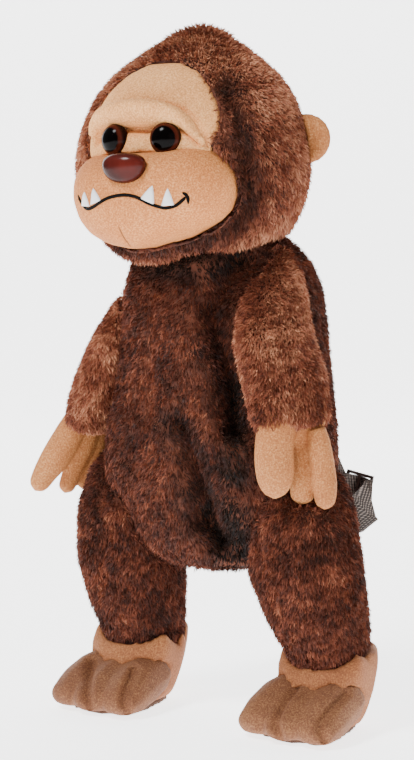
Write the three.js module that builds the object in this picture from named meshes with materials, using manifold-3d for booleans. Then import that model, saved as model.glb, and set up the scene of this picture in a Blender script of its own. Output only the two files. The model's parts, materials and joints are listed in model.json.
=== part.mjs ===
// Plush backpack in the form of a standing, long-armed forest ape.
// Millimetres, +Z up. The figure faces -Y and its own left side is +X.
// The furry torso is the bag: one hollow sewn shell with a closed zip down its back.
// Head, arms and legs are stuffed forms sewn to it, and webbing straps hang behind it.
import * as THREE from 'three';
import { mergeVertices } from 'three/addons/utils/BufferGeometryUtils.js';
import Module from 'manifold-3d';

const wasm = await Module();
wasm.setup();

// Driving sizes
const gap = 0.35;

const foot = { length: 106, width: 76, height: 54, insideLeg: 14 };
const toe = { width: 32, length: 66, height: 30, drop: 16, splay: 6 };
const sole = { thickness: 4, inset: 8 };
const leg = { length: 128, width: 74, depth: 72 };
const bag = { height: 232, halfWidth: 82, halfDepth: 70, wall: 8, crotch: 68, foldDepth: 9 };
const zip = { length: 150, slot: 13, proud: 1.2, inside: 4 };
const slider = { width: 9, length: 14, height: 4, pullLength: 24, pullWidth: 5, pullThickness: 1.6 };
const head = { height: 163, halfWidth: 79, halfDepth: 73, overlap: 30, turn: 6, right: 8, fore: 22 };
const face = { halfWidth: 49.5, height: 84, sunk: 2.5, thickness: 5 };
const muzzle = { halfWidth: 59, depth: 40, height: 63, fore: 46 };
const brow = { span: 90, rise: 25, height: 14, depth: 15 };
const eye = { diameter: 20, spacing: 38, depth: 15 };
const nose = { width: 26, height: 18, depth: 16 };
const fang = { width: 9, height: 12.5, proud: 1.8 };
const mouth = { width: 2.2, proud: 1.3 };
const ear = { diameter: 36, thickness: 9, angle: 112, dish: 3 };
const arm = { length: 111, width: 58, thickness: 38 };
const hand = { palm: 34, width: 52, thickness: 25, finger: 44, fingerWidth: 20, fingerTop: 6 };
const webbing = { width: 25, thickness: 1.8 };
const glide = { frame: 30, length: 20, bar: 2, thickness: 2.2 };

// Where things stand, worked out from the sizes
const ankleZ = foot.height - foot.insideLeg;
const hipZ = ankleZ + leg.length;
const bagFloor = hipZ - bag.crotch;
const bagTop = bagFloor + bag.height;
const headBase = bagTop - head.overlap;
const bagZ = (share) => bagFloor + share * bag.height;
const headZ = (share) => headBase + share * head.height;

// Sections of the upright forms: level, then side, front and back half sizes as shares
const bagSections = [
  { level: 0.0, side: 0.2, front: 0.2, back: 0.2 },
  { level: 0.015, side: 0.42, front: 0.42, back: 0.4 },
  { level: 0.05, side: 0.62, front: 0.62, back: 0.6 },
  { level: 0.11, side: 0.79, front: 0.81, back: 0.77 },
  { level: 0.2, side: 0.91, front: 0.92, back: 0.92 },
  { level: 0.3, side: 0.97, front: 0.97, back: 1.02 },
  { level: 0.41, side: 0.96, front: 0.96, back: 1.02 },
  { level: 0.52, side: 0.93, front: 0.93, back: 0.99 },
  { level: 0.63, side: 0.9, front: 0.9, back: 0.96 },
  { level: 0.74, side: 0.87, front: 0.87, back: 0.93 },
  { level: 0.83, side: 0.84, front: 0.84, back: 0.86 },
  { level: 0.9, side: 0.76, front: 0.78, back: 0.73 },
  { level: 0.955, side: 0.62, front: 0.65, back: 0.56 },
  { level: 0.99, side: 0.44, front: 0.44, back: 0.44 },
  { level: 1.0, side: 0.2, front: 0.2, back: 0.2 },
];

const headSections = [
  { level: 0.0, side: 0.25, front: 0.25, back: 0.3 },
  { level: 0.025, side: 0.46, front: 0.46, back: 0.5 },
  { level: 0.09, side: 0.68, front: 0.73, back: 0.7 },
  { level: 0.18, side: 0.85, front: 0.88, back: 0.86 },
  { level: 0.28, side: 0.95, front: 0.94, back: 0.96 },
  { level: 0.39, side: 1.0, front: 1.0, back: 1.02 },
  { level: 0.5, side: 0.98, front: 0.99, back: 1.02 },
  { level: 0.61, side: 0.93, front: 0.93, back: 0.98, lean: 0.01 },
  { level: 0.71, side: 0.84, front: 0.84, back: 0.9, lean: 0.03 },
  { level: 0.79, side: 0.72, front: 0.72, back: 0.77, lean: 0.06 },
  { level: 0.855, side: 0.56, front: 0.57, back: 0.62, lean: 0.09 },
  { level: 0.91, side: 0.41, front: 0.42, back: 0.46, lean: 0.12 },
  { level: 0.955, side: 0.26, front: 0.26, back: 0.3, lean: 0.14 },
  { level: 0.985, side: 0.14, front: 0.14, back: 0.16, lean: 0.15 },
  { level: 1.0, side: 0.05, front: 0.05, back: 0.06, lean: 0.16 },
];

const muzzleSections = [
  { level: 0.0, side: 0.3, front: 0.34, back: 0.3 },
  { level: 0.04, side: 0.54, front: 0.62, back: 0.5 },
  { level: 0.14, side: 0.76, front: 0.86, back: 0.7 },
  { level: 0.28, side: 0.9, front: 0.98, back: 0.8 },
  { level: 0.46, side: 0.98, front: 1.01, back: 0.85 },
  { level: 0.63, side: 0.98, front: 1.0, back: 0.85 },
  { level: 0.78, side: 0.91, front: 0.93, back: 0.8 },
  { level: 0.9, side: 0.76, front: 0.78, back: 0.66 },
  { level: 0.97, side: 0.54, front: 0.56, back: 0.5 },
  { level: 1.0, side: 0.3, front: 0.3, back: 0.3 },
];

// Folds of the bag: angle from the front at top and foot, levels, reach in degrees, depth share
const bagFolds = [
  { topAngle: -9, footAngle: -7, top: 0.93, foot: 0.12, reach: 5, depth: 0.35 },
  { topAngle: 46, footAngle: 40, top: 0.86, foot: 0.36, reach: 9, depth: 1.1 },
  { topAngle: 14, footAngle: 31, top: 0.4, foot: 0.06, reach: 9, depth: 1.35 },
  { topAngle: -62, footAngle: -58, top: 0.86, foot: 0.4, reach: 9, depth: 0.8 },
  { topAngle: -38, footAngle: -44, top: 0.3, foot: 0.06, reach: 10, depth: 0.7 },
  { topAngle: 150, footAngle: 146, top: 0.85, foot: 0.5, reach: 12, depth: 0.5 },
  { topAngle: 210, footAngle: 214, top: 0.85, foot: 0.5, reach: 12, depth: 0.5 },
];

// Limbs from top to end: how far down, out and fore, then width and depth, all as shares
const armSections = [
  { down: -0.04, out: -0.1, fore: -0.1, wide: 0.3, deep: 0.34 },
  { down: 0.0, out: 0.0, fore: 0.0, wide: 0.46, deep: 0.56 },
  { down: 0.12, out: 0.13, fore: 0.24, wide: 0.66, deep: 0.78 },
  { down: 0.3, out: 0.3, fore: 0.56, wide: 0.84, deep: 0.94 },
  { down: 0.5, out: 0.5, fore: 0.86, wide: 0.96, deep: 1.0 },
  { down: 0.72, out: 0.76, fore: 0.9, wide: 1.0, deep: 1.0 },
  { down: 0.88, out: 0.9, fore: 0.97, wide: 0.98, deep: 0.94 },
  { down: 1.0, out: 1.0, fore: 1.0, wide: 0.9, deep: 0.8 },
];

const legSections = [
  { down: -0.12, out: -0.1, fore: 0.2, wide: 0.3, deep: 0.3 },
  { down: -0.06, out: -0.05, fore: 0.4, wide: 0.62, deep: 0.62 },
  { down: 0.05, out: 0.0, fore: 0.7, wide: 0.85, deep: 0.87 },
  { down: 0.24, out: 0.2, fore: 1.0, wide: 0.99, deep: 1.01 },
  { down: 0.46, out: 0.4, fore: 0.85, wide: 1.02, deep: 1.02 },
  { down: 0.68, out: 0.68, fore: 0.05, wide: 0.93, deep: 0.94 },
  { down: 0.88, out: 0.92, fore: -0.85, wide: 0.8, deep: 0.81 },
  { down: 1.0, out: 1.0, fore: -1.2, wide: 0.72, deep: 0.72 },
];

const fingerSections = [
  { down: 0.0, wide: 0.6, deep: 0.7 },
  { down: 0.3, wide: 0.88, deep: 0.98 },
  { down: 0.72, wide: 1.0, deep: 0.98 },
  { down: 0.92, wide: 0.72, deep: 0.7 },
  { down: 1.0, wide: 0.3, deep: 0.32 },
];

const palmSections = [
  { down: -0.15, wide: 0.58, deep: 0.72 },
  { down: 0.3, wide: 0.8, deep: 0.92 },
  { down: 0.8, wide: 0.92, deep: 0.7 },
  { down: 1.0, wide: 0.8, deep: 0.4 },
];

// A toe from under the instep to its tip, and the line that it drops along
const toeSections = [
  { along: 0.0, wide: 0.96, deep: 0.7, drop: 0.0 },
  { along: 0.1, wide: 1.02, deep: 0.92, drop: 0.06 },
  { along: 0.36, wide: 1.0, deep: 1.0, drop: 0.3 },
  { along: 0.66, wide: 1.0, deep: 0.84, drop: 0.64 },
  { along: 0.92, wide: 0.84, deep: 0.52, drop: 0.94 },
  { along: 1.0, wide: 0.42, deep: 0.22, drop: 1.0 },
];

const heelSections = [
  { level: 0.0, side: 0.62, front: 0.4, back: 0.56 },
  { level: 0.1, side: 0.7, front: 0.5, back: 0.66 },
  { level: 0.4, side: 0.8, front: 0.48, back: 0.8 },
  { level: 0.75, side: 0.84, front: 0.28, back: 0.93 },
  { level: 0.95, side: 0.8, front: 0.08, back: 0.98 },
  { level: 1.0, side: 0.68, front: -0.05, back: 0.86 },
];

// Each side's stance: s is +1 on the figure's left and -1 on its right
const sides = [
  {
    name: 'left', s: 1,
    shoulder: { out: 0.62, fore: 0.14, level: 0.92 }, reach: { out: 34, fore: 30 },
    armFacing: 60, handFacing: 56, handAlong: { out: 4, fore: 2, down: 60 },
    hip: { out: 0.87, fore: 2 }, step: { out: 10, fore: 11 }, hemUp: 6, footFore: 2,
    strap: { out: 1, back: 1, sag: 0 },
  },
  {
    name: 'right', s: -1,
    shoulder: { out: 0.5, fore: 0.06, level: 0.88 }, reach: { out: 48, fore: 26 },
    armFacing: 84, handFacing: 112, handAlong: { out: 22, fore: 14, down: 45 },
    hip: { out: 0.75, fore: 10 }, step: { out: 6, fore: 10 }, hemUp: 0, footFore: 16,
    strap: { out: 1.24, back: 0.84, sag: 46 },
  },
];

// Colours and finishes
const finish = (color, roughness, metalness = 0) =>
  new THREE.MeshStandardMaterial({ color, roughness, metalness });
const furFinish = () => finish('#6b3a28', 0.95);
const faceFinish = () => finish('#d9a878', 0.85);
const handFinish = () => finish('#c4966e', 0.85);
const toeFinish = () => finish('#a0704e', 0.85);
const soleFinish = () => finish('#6e503e', 0.85);
const webbingFinish = () => finish('#5a463e', 0.7);
const hardFinish = (color) => finish(color, 0.2);

// Solids: a closed geometry becomes a manifold for joins and cuts, and comes back
function solid(geometry) {
  const plain = geometry.clone();
  plain.deleteAttribute('normal');
  plain.deleteAttribute('uv');
  const merged = mergeVertices(plain, 1e-4);
  return new wasm.Manifold(new wasm.Mesh({
    numProp: 3,
    vertProperties: new Float32Array(merged.attributes.position.array),
    triVerts: new Uint32Array(merged.index.array),
  }));
}

function shape(manifold) {
  const mesh = manifold.getMesh();
  const geometry = new THREE.BufferGeometry();
  geometry.setAttribute('position', new THREE.BufferAttribute(new Float32Array(mesh.vertProperties), 3));
  geometry.setIndex(new THREE.BufferAttribute(new Uint32Array(mesh.triVerts), 1));
  geometry.computeVertexNormals();
  return geometry;
}

// A closed skin through rings of equal count, with a fan at each end
function skin(rings) {
  const count = rings[0].length;
  const points = rings.flat();
  const faces = [];
  for (let row = 0; row + 1 < rings.length; row += 1) {
    for (let step = 0; step < count; step += 1) {
      const next = (step + 1) % count;
      const low = row * count;
      const high = low + count;
      faces.push(low + step, low + next, high + next);
      faces.push(low + step, high + next, high + step);
    }
  }
  const middle = (ring) => ring.reduce((sum, p) => sum.add(p), new THREE.Vector3())
    .divideScalar(count);
  const first = points.push(middle(rings[0])) - 1;
  const last = points.push(middle(rings[rings.length - 1])) - 1;
  const top = (rings.length - 1) * count;
  for (let step = 0; step < count; step += 1) {
    const next = (step + 1) % count;
    faces.push(first, next, step);
    faces.push(last, top + step, top + next);
  }
  const geometry = new THREE.BufferGeometry().setFromPoints(points);
  geometry.setIndex(faces);
  return geometry;
}

const radians = THREE.MathUtils.degToRad;
const bend = (value, power) => Math.sign(value) * Math.abs(value) ** (2 / power);

// An upright form: level rings whose angle runs from the front (-Y) towards +X
function upright(sections, size, options = {}) {
  const { count = 24, grow = 0, power = 2.2, folds = [] } = options;
  const rings = sections.map((row, index) => {
    const end = index === 0 ? -1 : Number(index === sections.length - 1);
    const z = size.base + row.level * size.height + end * grow;
    const ring = [];
    for (let step = 0; step < count; step += 1) {
      const angle = (step / count) * 2 * Math.PI;
      const dent = foldDepth(folds, row.level, (angle * 180) / Math.PI);
      const sideways = row.side * size.halfWidth + grow - dent;
      const depth = Math.cos(angle) > 0 ? row.front * size.front : row.back * size.back;
      const x = (size.x ?? 0) + bend(Math.sin(angle), power) * sideways;
      const middle = (size.y ?? 0) + (row.lean ?? 0) * size.back;
      const y = middle - bend(Math.cos(angle), power) * (depth + grow - dent);
      ring.push(new THREE.Vector3(x, y, z));
    }
    return ring;
  });
  return skin(rings);
}

function foldDepth(folds, level, angle) {
  let dent = 0;
  for (const fold of folds) {
    const along = (level - fold.foot) / (fold.top - fold.foot);
    if (along <= 0 || along >= 1) continue;
    const middle = THREE.MathUtils.lerp(fold.footAngle, fold.topAngle, along);
    const away = THREE.MathUtils.euclideanModulo(angle - middle + 180, 360) - 180;
    const ease = Math.sin(Math.PI * along) ** 0.6;
    dent += fold.depth * ease * Math.exp(-((away / fold.reach) ** 2)) * bag.foldDepth;
  }
  return dent;
}

// A limb: rings square to its path, with the wide axis near a given direction
function limb(sections, wideAxis, options = {}) {
  const { count = 16, grow = 0, power = 2.2 } = options;
  const rings = sections.map((row, index) => {
    const before = sections[Math.max(index - 1, 0)].at;
    const after = sections[Math.min(index + 1, sections.length - 1)].at;
    const along = after.clone().sub(before).normalize();
    const wide = wideAxis.clone().addScaledVector(along, -wideAxis.dot(along)).normalize();
    const deep = along.clone().cross(wide);
    const end = index === 0 ? -1 : Number(index === sections.length - 1);
    const centre = row.at.clone().addScaledVector(along, end * grow);
    const ring = [];
    for (let step = 0; step < count; step += 1) {
      const angle = (step / count) * 2 * Math.PI;
      ring.push(centre.clone()
        .addScaledVector(wide, bend(Math.cos(angle), power) * (row.wide + grow))
        .addScaledVector(deep, bend(Math.sin(angle), power) * (row.deep + grow)));
    }
    return ring;
  });
  return skin(rings);
}

// A round padded form with its own half sizes
function pad(halfX, halfY, halfZ, across, down) {
  return new THREE.SphereGeometry(1, across, down).scale(halfX, halfY, halfZ);
}

// A prism through the front or back of a form, from an outline in X and Z
function prism(outline, nearY, farY) {
  const flat = new THREE.Shape(outline.map(([x, z]) => new THREE.Vector2(x, z)));
  const body = new THREE.ExtrudeGeometry(flat, { depth: Math.abs(farY - nearY), bevelEnabled: false });
  body.rotateX(Math.PI / 2);
  return body.translate(0, Math.max(nearY, farY), 0);
}

function box(width, depth, height, x, y, z) {
  return new THREE.BoxGeometry(width, depth, height).translate(x, y, z);
}

const group = new THREE.Group();

function piece(parent, name, manifold, material) {
  const mesh = new THREE.Mesh(shape(manifold), material);
  mesh.name = name;
  parent.add(mesh);
  return mesh;
}

// A solid given in the whole figure's frame, as a group inside it sees it
function inside(parent, manifold) {
  parent.updateWorldMatrix(true, false);
  return solid(shape(manifold).applyMatrix4(parent.matrixWorld.clone().invert()));
}

function outside(parent, manifold) {
  parent.updateWorldMatrix(true, false);
  return solid(shape(manifold).applyMatrix4(parent.matrixWorld));
}

// Bag: the torso's outer form, its hollow, and the zip slot in its back
const bagSize = {
  base: bagFloor, height: bag.height, halfWidth: bag.halfWidth,
  front: bag.halfDepth, back: bag.halfDepth,
};
const bagForm = (grow) =>
  solid(upright(bagSections, bagSize, { count: grow < 0 ? 18 : 34, grow, folds: bagFolds }));
const bagOuter = bagForm(0);
const bagClear = bagForm(gap);
const zipMiddle = bagZ(0.5);
const slotBox = (clear) => solid(box(
  zip.slot - 2 * clear, bag.halfDepth, zip.length - 2 * clear, 0, bag.halfDepth, zipMiddle,
));
piece(group, 'bag_shell', bagOuter.subtract(bagForm(-bag.wall)).subtract(slotBox(0)), furFinish());
piece(
  group, 'bag_zip',
  bagForm(zip.proud).subtract(bagForm(-zip.inside)).intersect(slotBox(gap)), webbingFinish(),
);

// Zip slider at the top of the closed zip, with its pull hanging below it
const sliderZ = zipMiddle + zip.length / 2 - slider.length;
function backAt(level) {
  const above = bagSections.findIndex((row) => row.level >= level);
  const high = bagSections[above];
  const low = bagSections[above - 1];
  const share = (level - low.level) / (high.level - low.level);
  return THREE.MathUtils.lerp(low.back, high.back, share) * bag.halfDepth;
}
const zipClear = bagForm(zip.proud + gap);
const sliderY = backAt((sliderZ - bagFloor) / bag.height) + zip.proud + slider.height / 2;
const sliderBody = solid(box(
  slider.width, slider.height + 3, slider.length, 0, sliderY - 1.5, sliderZ,
)).subtract(zipClear);
piece(group, 'zip_slider', sliderBody, hardFinish('#4a3a34'));
const pullTop = sliderZ - slider.length / 2 - gap;
const pullBody = solid(box(
  slider.pullWidth, slider.pullThickness + 6, slider.pullLength,
  0, sliderY - 3, pullTop - slider.pullLength / 2,
)).subtract(zipClear);
piece(group, 'zip_pull', pullBody, hardFinish('#4a3a34'));

// Head: a stuffed hood with a tall crest, turned a little to the figure's left
const headGroup = new THREE.Group();
headGroup.position.set(-head.right, -head.fore, 0);
headGroup.rotation.z = radians(head.turn);
group.add(headGroup);
const headSize = {
  base: headBase, height: head.height, halfWidth: head.halfWidth,
  front: head.halfDepth, back: head.halfDepth,
};
const headForm = (grow) => solid(upright(headSections, headSize, { count: 24, grow, power: 2.1 }));

function sectionAt(sections, level) {
  const above = Math.max(1, sections.findIndex((row) => row.level >= level));
  const high = sections[above];
  const low = sections[above - 1];
  const share = (level - low.level) / (high.level - low.level);
  return {
    side: THREE.MathUtils.lerp(low.side, high.side, share),
    front: THREE.MathUtils.lerp(low.front, high.front, share),
    lean: THREE.MathUtils.lerp(low.lean ?? 0, high.lean ?? 0, share),
  };
}

// How far the face lies in front of the head's axis, at x and at a share of the head's height
function faceAt(x, level) {
  const row = sectionAt(headSections, level);
  const across = Math.min(0.98, Math.abs(x) / (row.side * head.halfWidth));
  const bulge = row.front * (1 - across ** 2.1) ** (1 / 2.1) - row.lean;
  return bulge * head.halfDepth - face.sunk;
}

const faceBottom = headZ(0.33);
const faceOutline = (clear) => [
  [-0.7, 0.0], [0.7, 0.0], [0.93, 0.28], [1.0, 0.5], [0.93, 0.62], [0.76, 0.78], [0.52, 0.91],
  [0.22, 0.99], [-0.22, 0.99], [-0.52, 0.91], [-0.76, 0.78], [-0.93, 0.62], [-1.0, 0.5],
  [-0.93, 0.28],
].map(([x, z]) => [x * (face.halfWidth - clear), faceBottom + clear + z * (face.height - 2 * clear)]);
const ahead = -2 * head.halfDepth;
const facePrism = (clear) => solid(prism(faceOutline(clear), 0, ahead));
const muzzleMiddle = headZ(0.29);
const muzzleSize = {
  base: muzzleMiddle - muzzle.height / 2, height: muzzle.height, halfWidth: muzzle.halfWidth,
  front: muzzle.depth, back: muzzle.depth, y: -muzzle.fore,
};
const muzzleForm = (grow) => solid(upright(muzzleSections, muzzleSize, { count: 22, grow }));
const bagInHead = inside(headGroup, bagClear);
const furCut = -face.sunk - face.thickness - gap;
const pocket = facePrism(0).subtract(headForm(furCut));
piece(
  headGroup, 'head',
  headForm(0).subtract(pocket).subtract(muzzleForm(gap)).subtract(bagInHead), furFinish(),
);
piece(
  headGroup, 'face_panel',
  headForm(-face.sunk).intersect(facePrism(gap)).subtract(headForm(furCut + gap))
    .subtract(muzzleForm(gap)),
  faceFinish(),
);
piece(headGroup, 'muzzle', muzzleForm(0).subtract(bagInHead), faceFinish());

// Nose, pressed on the top of the muzzle
const noseZ = headZ(0.41);
const noseBody = (grow) => {
  const ball = pad(nose.width / 2 + grow, nose.depth / 2 + grow, nose.height / 2 + grow, 12, 8);
  return solid(ball.translate(0, -muzzle.fore - muzzle.depth + nose.depth * 0.1, noseZ));
};
piece(headGroup, 'nose', noseBody(0).subtract(muzzleForm(gap)), hardFinish('#48201b'));

// Eyes: domes on the face panel, turned a little outwards
const eyeLevel = 0.525;
const panelClear = headForm(-face.sunk + gap);
const eyeBody = (s, grow) => {
  const half = eye.diameter / 2 + grow;
  const ball = pad(half, eye.depth / 2 + grow, half, 14, 8);
  const x = (s * eye.spacing) / 2;
  return solid(ball.rotateZ(radians(s * 14))
    .translate(x, -faceAt(x, eyeLevel) + eye.depth * 0.1, headZ(eyeLevel)));
};
for (const { name, s } of sides) {
  piece(headGroup, `eye_${name}`, eyeBody(s, 0).subtract(panelClear), hardFinish('#55281c'));
}

// Brow: a padded roll that arches over the eyes and turns down at both ends
const browPath = [
  { across: -1.0, up: 0.0, size: 0.45 }, { across: -0.98, up: 0.35, size: 0.8 },
  { across: -0.8, up: 0.78, size: 0.95 }, { across: -0.42, up: 0.97, size: 1.0 },
  { across: 0.0, up: 1.0, size: 1.0 }, { across: 0.42, up: 0.97, size: 1.0 },
  { across: 0.8, up: 0.78, size: 0.95 }, { across: 0.98, up: 0.35, size: 0.8 },
  { across: 1.0, up: 0.0, size: 0.45 },
];
const browTop = 0.612;
const browRows = browPath.map((row) => {
  const x = (row.across * brow.span) / 2;
  const level = browTop - ((1 - row.up) * brow.rise) / head.height;
  return {
    at: new THREE.Vector3(x, -faceAt(x, level) - brow.depth * 0.1, headZ(level)),
    wide: (row.size * brow.depth) / 2,
    deep: (row.size * brow.height) / 2,
  };
});
const browBody = solid(limb(browRows, new THREE.Vector3(0, 1, 0), { count: 7 }));
piece(
  headGroup, 'brow',
  browBody.subtract(panelClear).subtract(eyeBody(1, gap)).subtract(eyeBody(-1, gap))
    .subtract(muzzleForm(gap)).subtract(headForm(gap).subtract(facePrism(gap))),
  faceFinish(),
);

// Mouth line and fangs, stitched on the muzzle. Across is a share of its half width, up of its height
const mouthCurve = [
  [-0.69, 0.55], [-0.615, 0.465], [-0.525, 0.407], [-0.42, 0.422], [-0.276, 0.481],
  [-0.156, 0.52], [0.014, 0.538], [0.137, 0.522], [0.229, 0.489], [0.315, 0.451],
  [0.424, 0.416], [0.492, 0.406], [0.579, 0.426], [0.641, 0.469], [0.69, 0.52],
];
const mouthCorner = [[0.653, 0.557], [0.701, 0.514], [0.705, 0.445]];
const onMuzzle = ([across, up]) => [
  across * muzzle.halfWidth, muzzleSize.base + up * muzzle.height,
];
function stroke(points, width) {
  const curve = new THREE.CatmullRomCurve3(points.map(([x, z]) => new THREE.Vector3(x, 0, z)));
  const middle = curve.getPoints(points.length);
  const edge = middle.map((point, index) => {
    const along = curve.getTangent(index / (middle.length - 1));
    return { point, normal: new THREE.Vector3(-along.z, 0, along.x).setLength(width / 2) };
  });
  const upper = edge.map(({ point, normal }) => [point.x + normal.x, point.z + normal.z]);
  const lower = edge.map(({ point, normal }) => [point.x - normal.x, point.z - normal.z]);
  return { upper: upper.reverse(), lower };
}
const muzzleClear = muzzleForm(gap);
const strokePrism = (points) => {
  const { upper, lower } = stroke(points.map(onMuzzle), mouth.width);
  return solid(prism([...upper, ...lower], -muzzle.fore, ahead));
};
piece(
  headGroup, 'mouth_line',
  muzzleForm(mouth.proud).intersect(strokePrism(mouthCurve).add(strokePrism(mouthCorner)))
    .subtract(muzzleClear),
  finish('#1c1614', 0.6),
);
const lipUpper = stroke(mouthCurve.map(onMuzzle), mouth.width + 2 * gap).upper;
const belowLip = solid(prism([
  ...lipUpper, [-muzzle.halfWidth, muzzleSize.base], [muzzle.halfWidth, muzzleSize.base],
], -muzzle.fore, ahead));
const fangs = [
  { across: -0.54, up: 0.41, lean: -0.1, size: 0.8 },
  { across: -0.365, up: 0.41, lean: -0.3, size: 1.0 },
  { across: 0.305, up: 0.425, lean: 0.25, size: 1.0 },
  { across: 0.513, up: 0.395, lean: 0.05, size: 1.03 },
];
fangs.forEach((row, index) => {
  const [x, z] = onMuzzle([row.across, row.up]);
  const half = (row.size * fang.width) / 2;
  const rise = row.size * fang.height;
  const tip = x + row.lean * fang.width;
  const outline = [
    [x - half, z], [x + half, z], [x + half * 0.85, z + rise * 0.5],
    [tip + half * 0.2, z + rise], [tip - half * 0.2, z + rise],
    [x - half * 0.85, z + rise * 0.5],
  ];
  const body = muzzleForm(fang.proud).intersect(solid(prism(outline, -muzzle.fore, ahead)));
  piece(
    headGroup, `fang_${index + 1}`,
    body.subtract(muzzleClear).subtract(belowLip), finish('#f2efe9', 0.6),
  );
});

// Ears: flat padded discs, dished in front, standing out of the fur
const headClear = headForm(gap);
const earLevel = 0.54;
for (const { name, s } of sides) {
  const row = sectionAt(headSections, earLevel);
  const angle = radians(ear.angle);
  const half = ear.diameter / 2;
  const place = (geometry) => geometry.rotateZ(s * (angle - Math.PI / 2)).translate(
    s * Math.sin(angle) * row.side * head.halfWidth,
    -Math.cos(angle) * head.halfDepth, headZ(earLevel),
  );
  const disc = solid(place(pad(half, ear.thickness / 2, half, 12, 7)));
  const dish = solid(place(
    pad(half * 0.7, ear.dish, half * 0.7, 9, 5).translate(s * half * 0.1, -ear.thickness / 2, 0),
  ));
  piece(headGroup, `ear_${name}`, disc.subtract(dish).subtract(headClear), handFinish());
}

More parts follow.
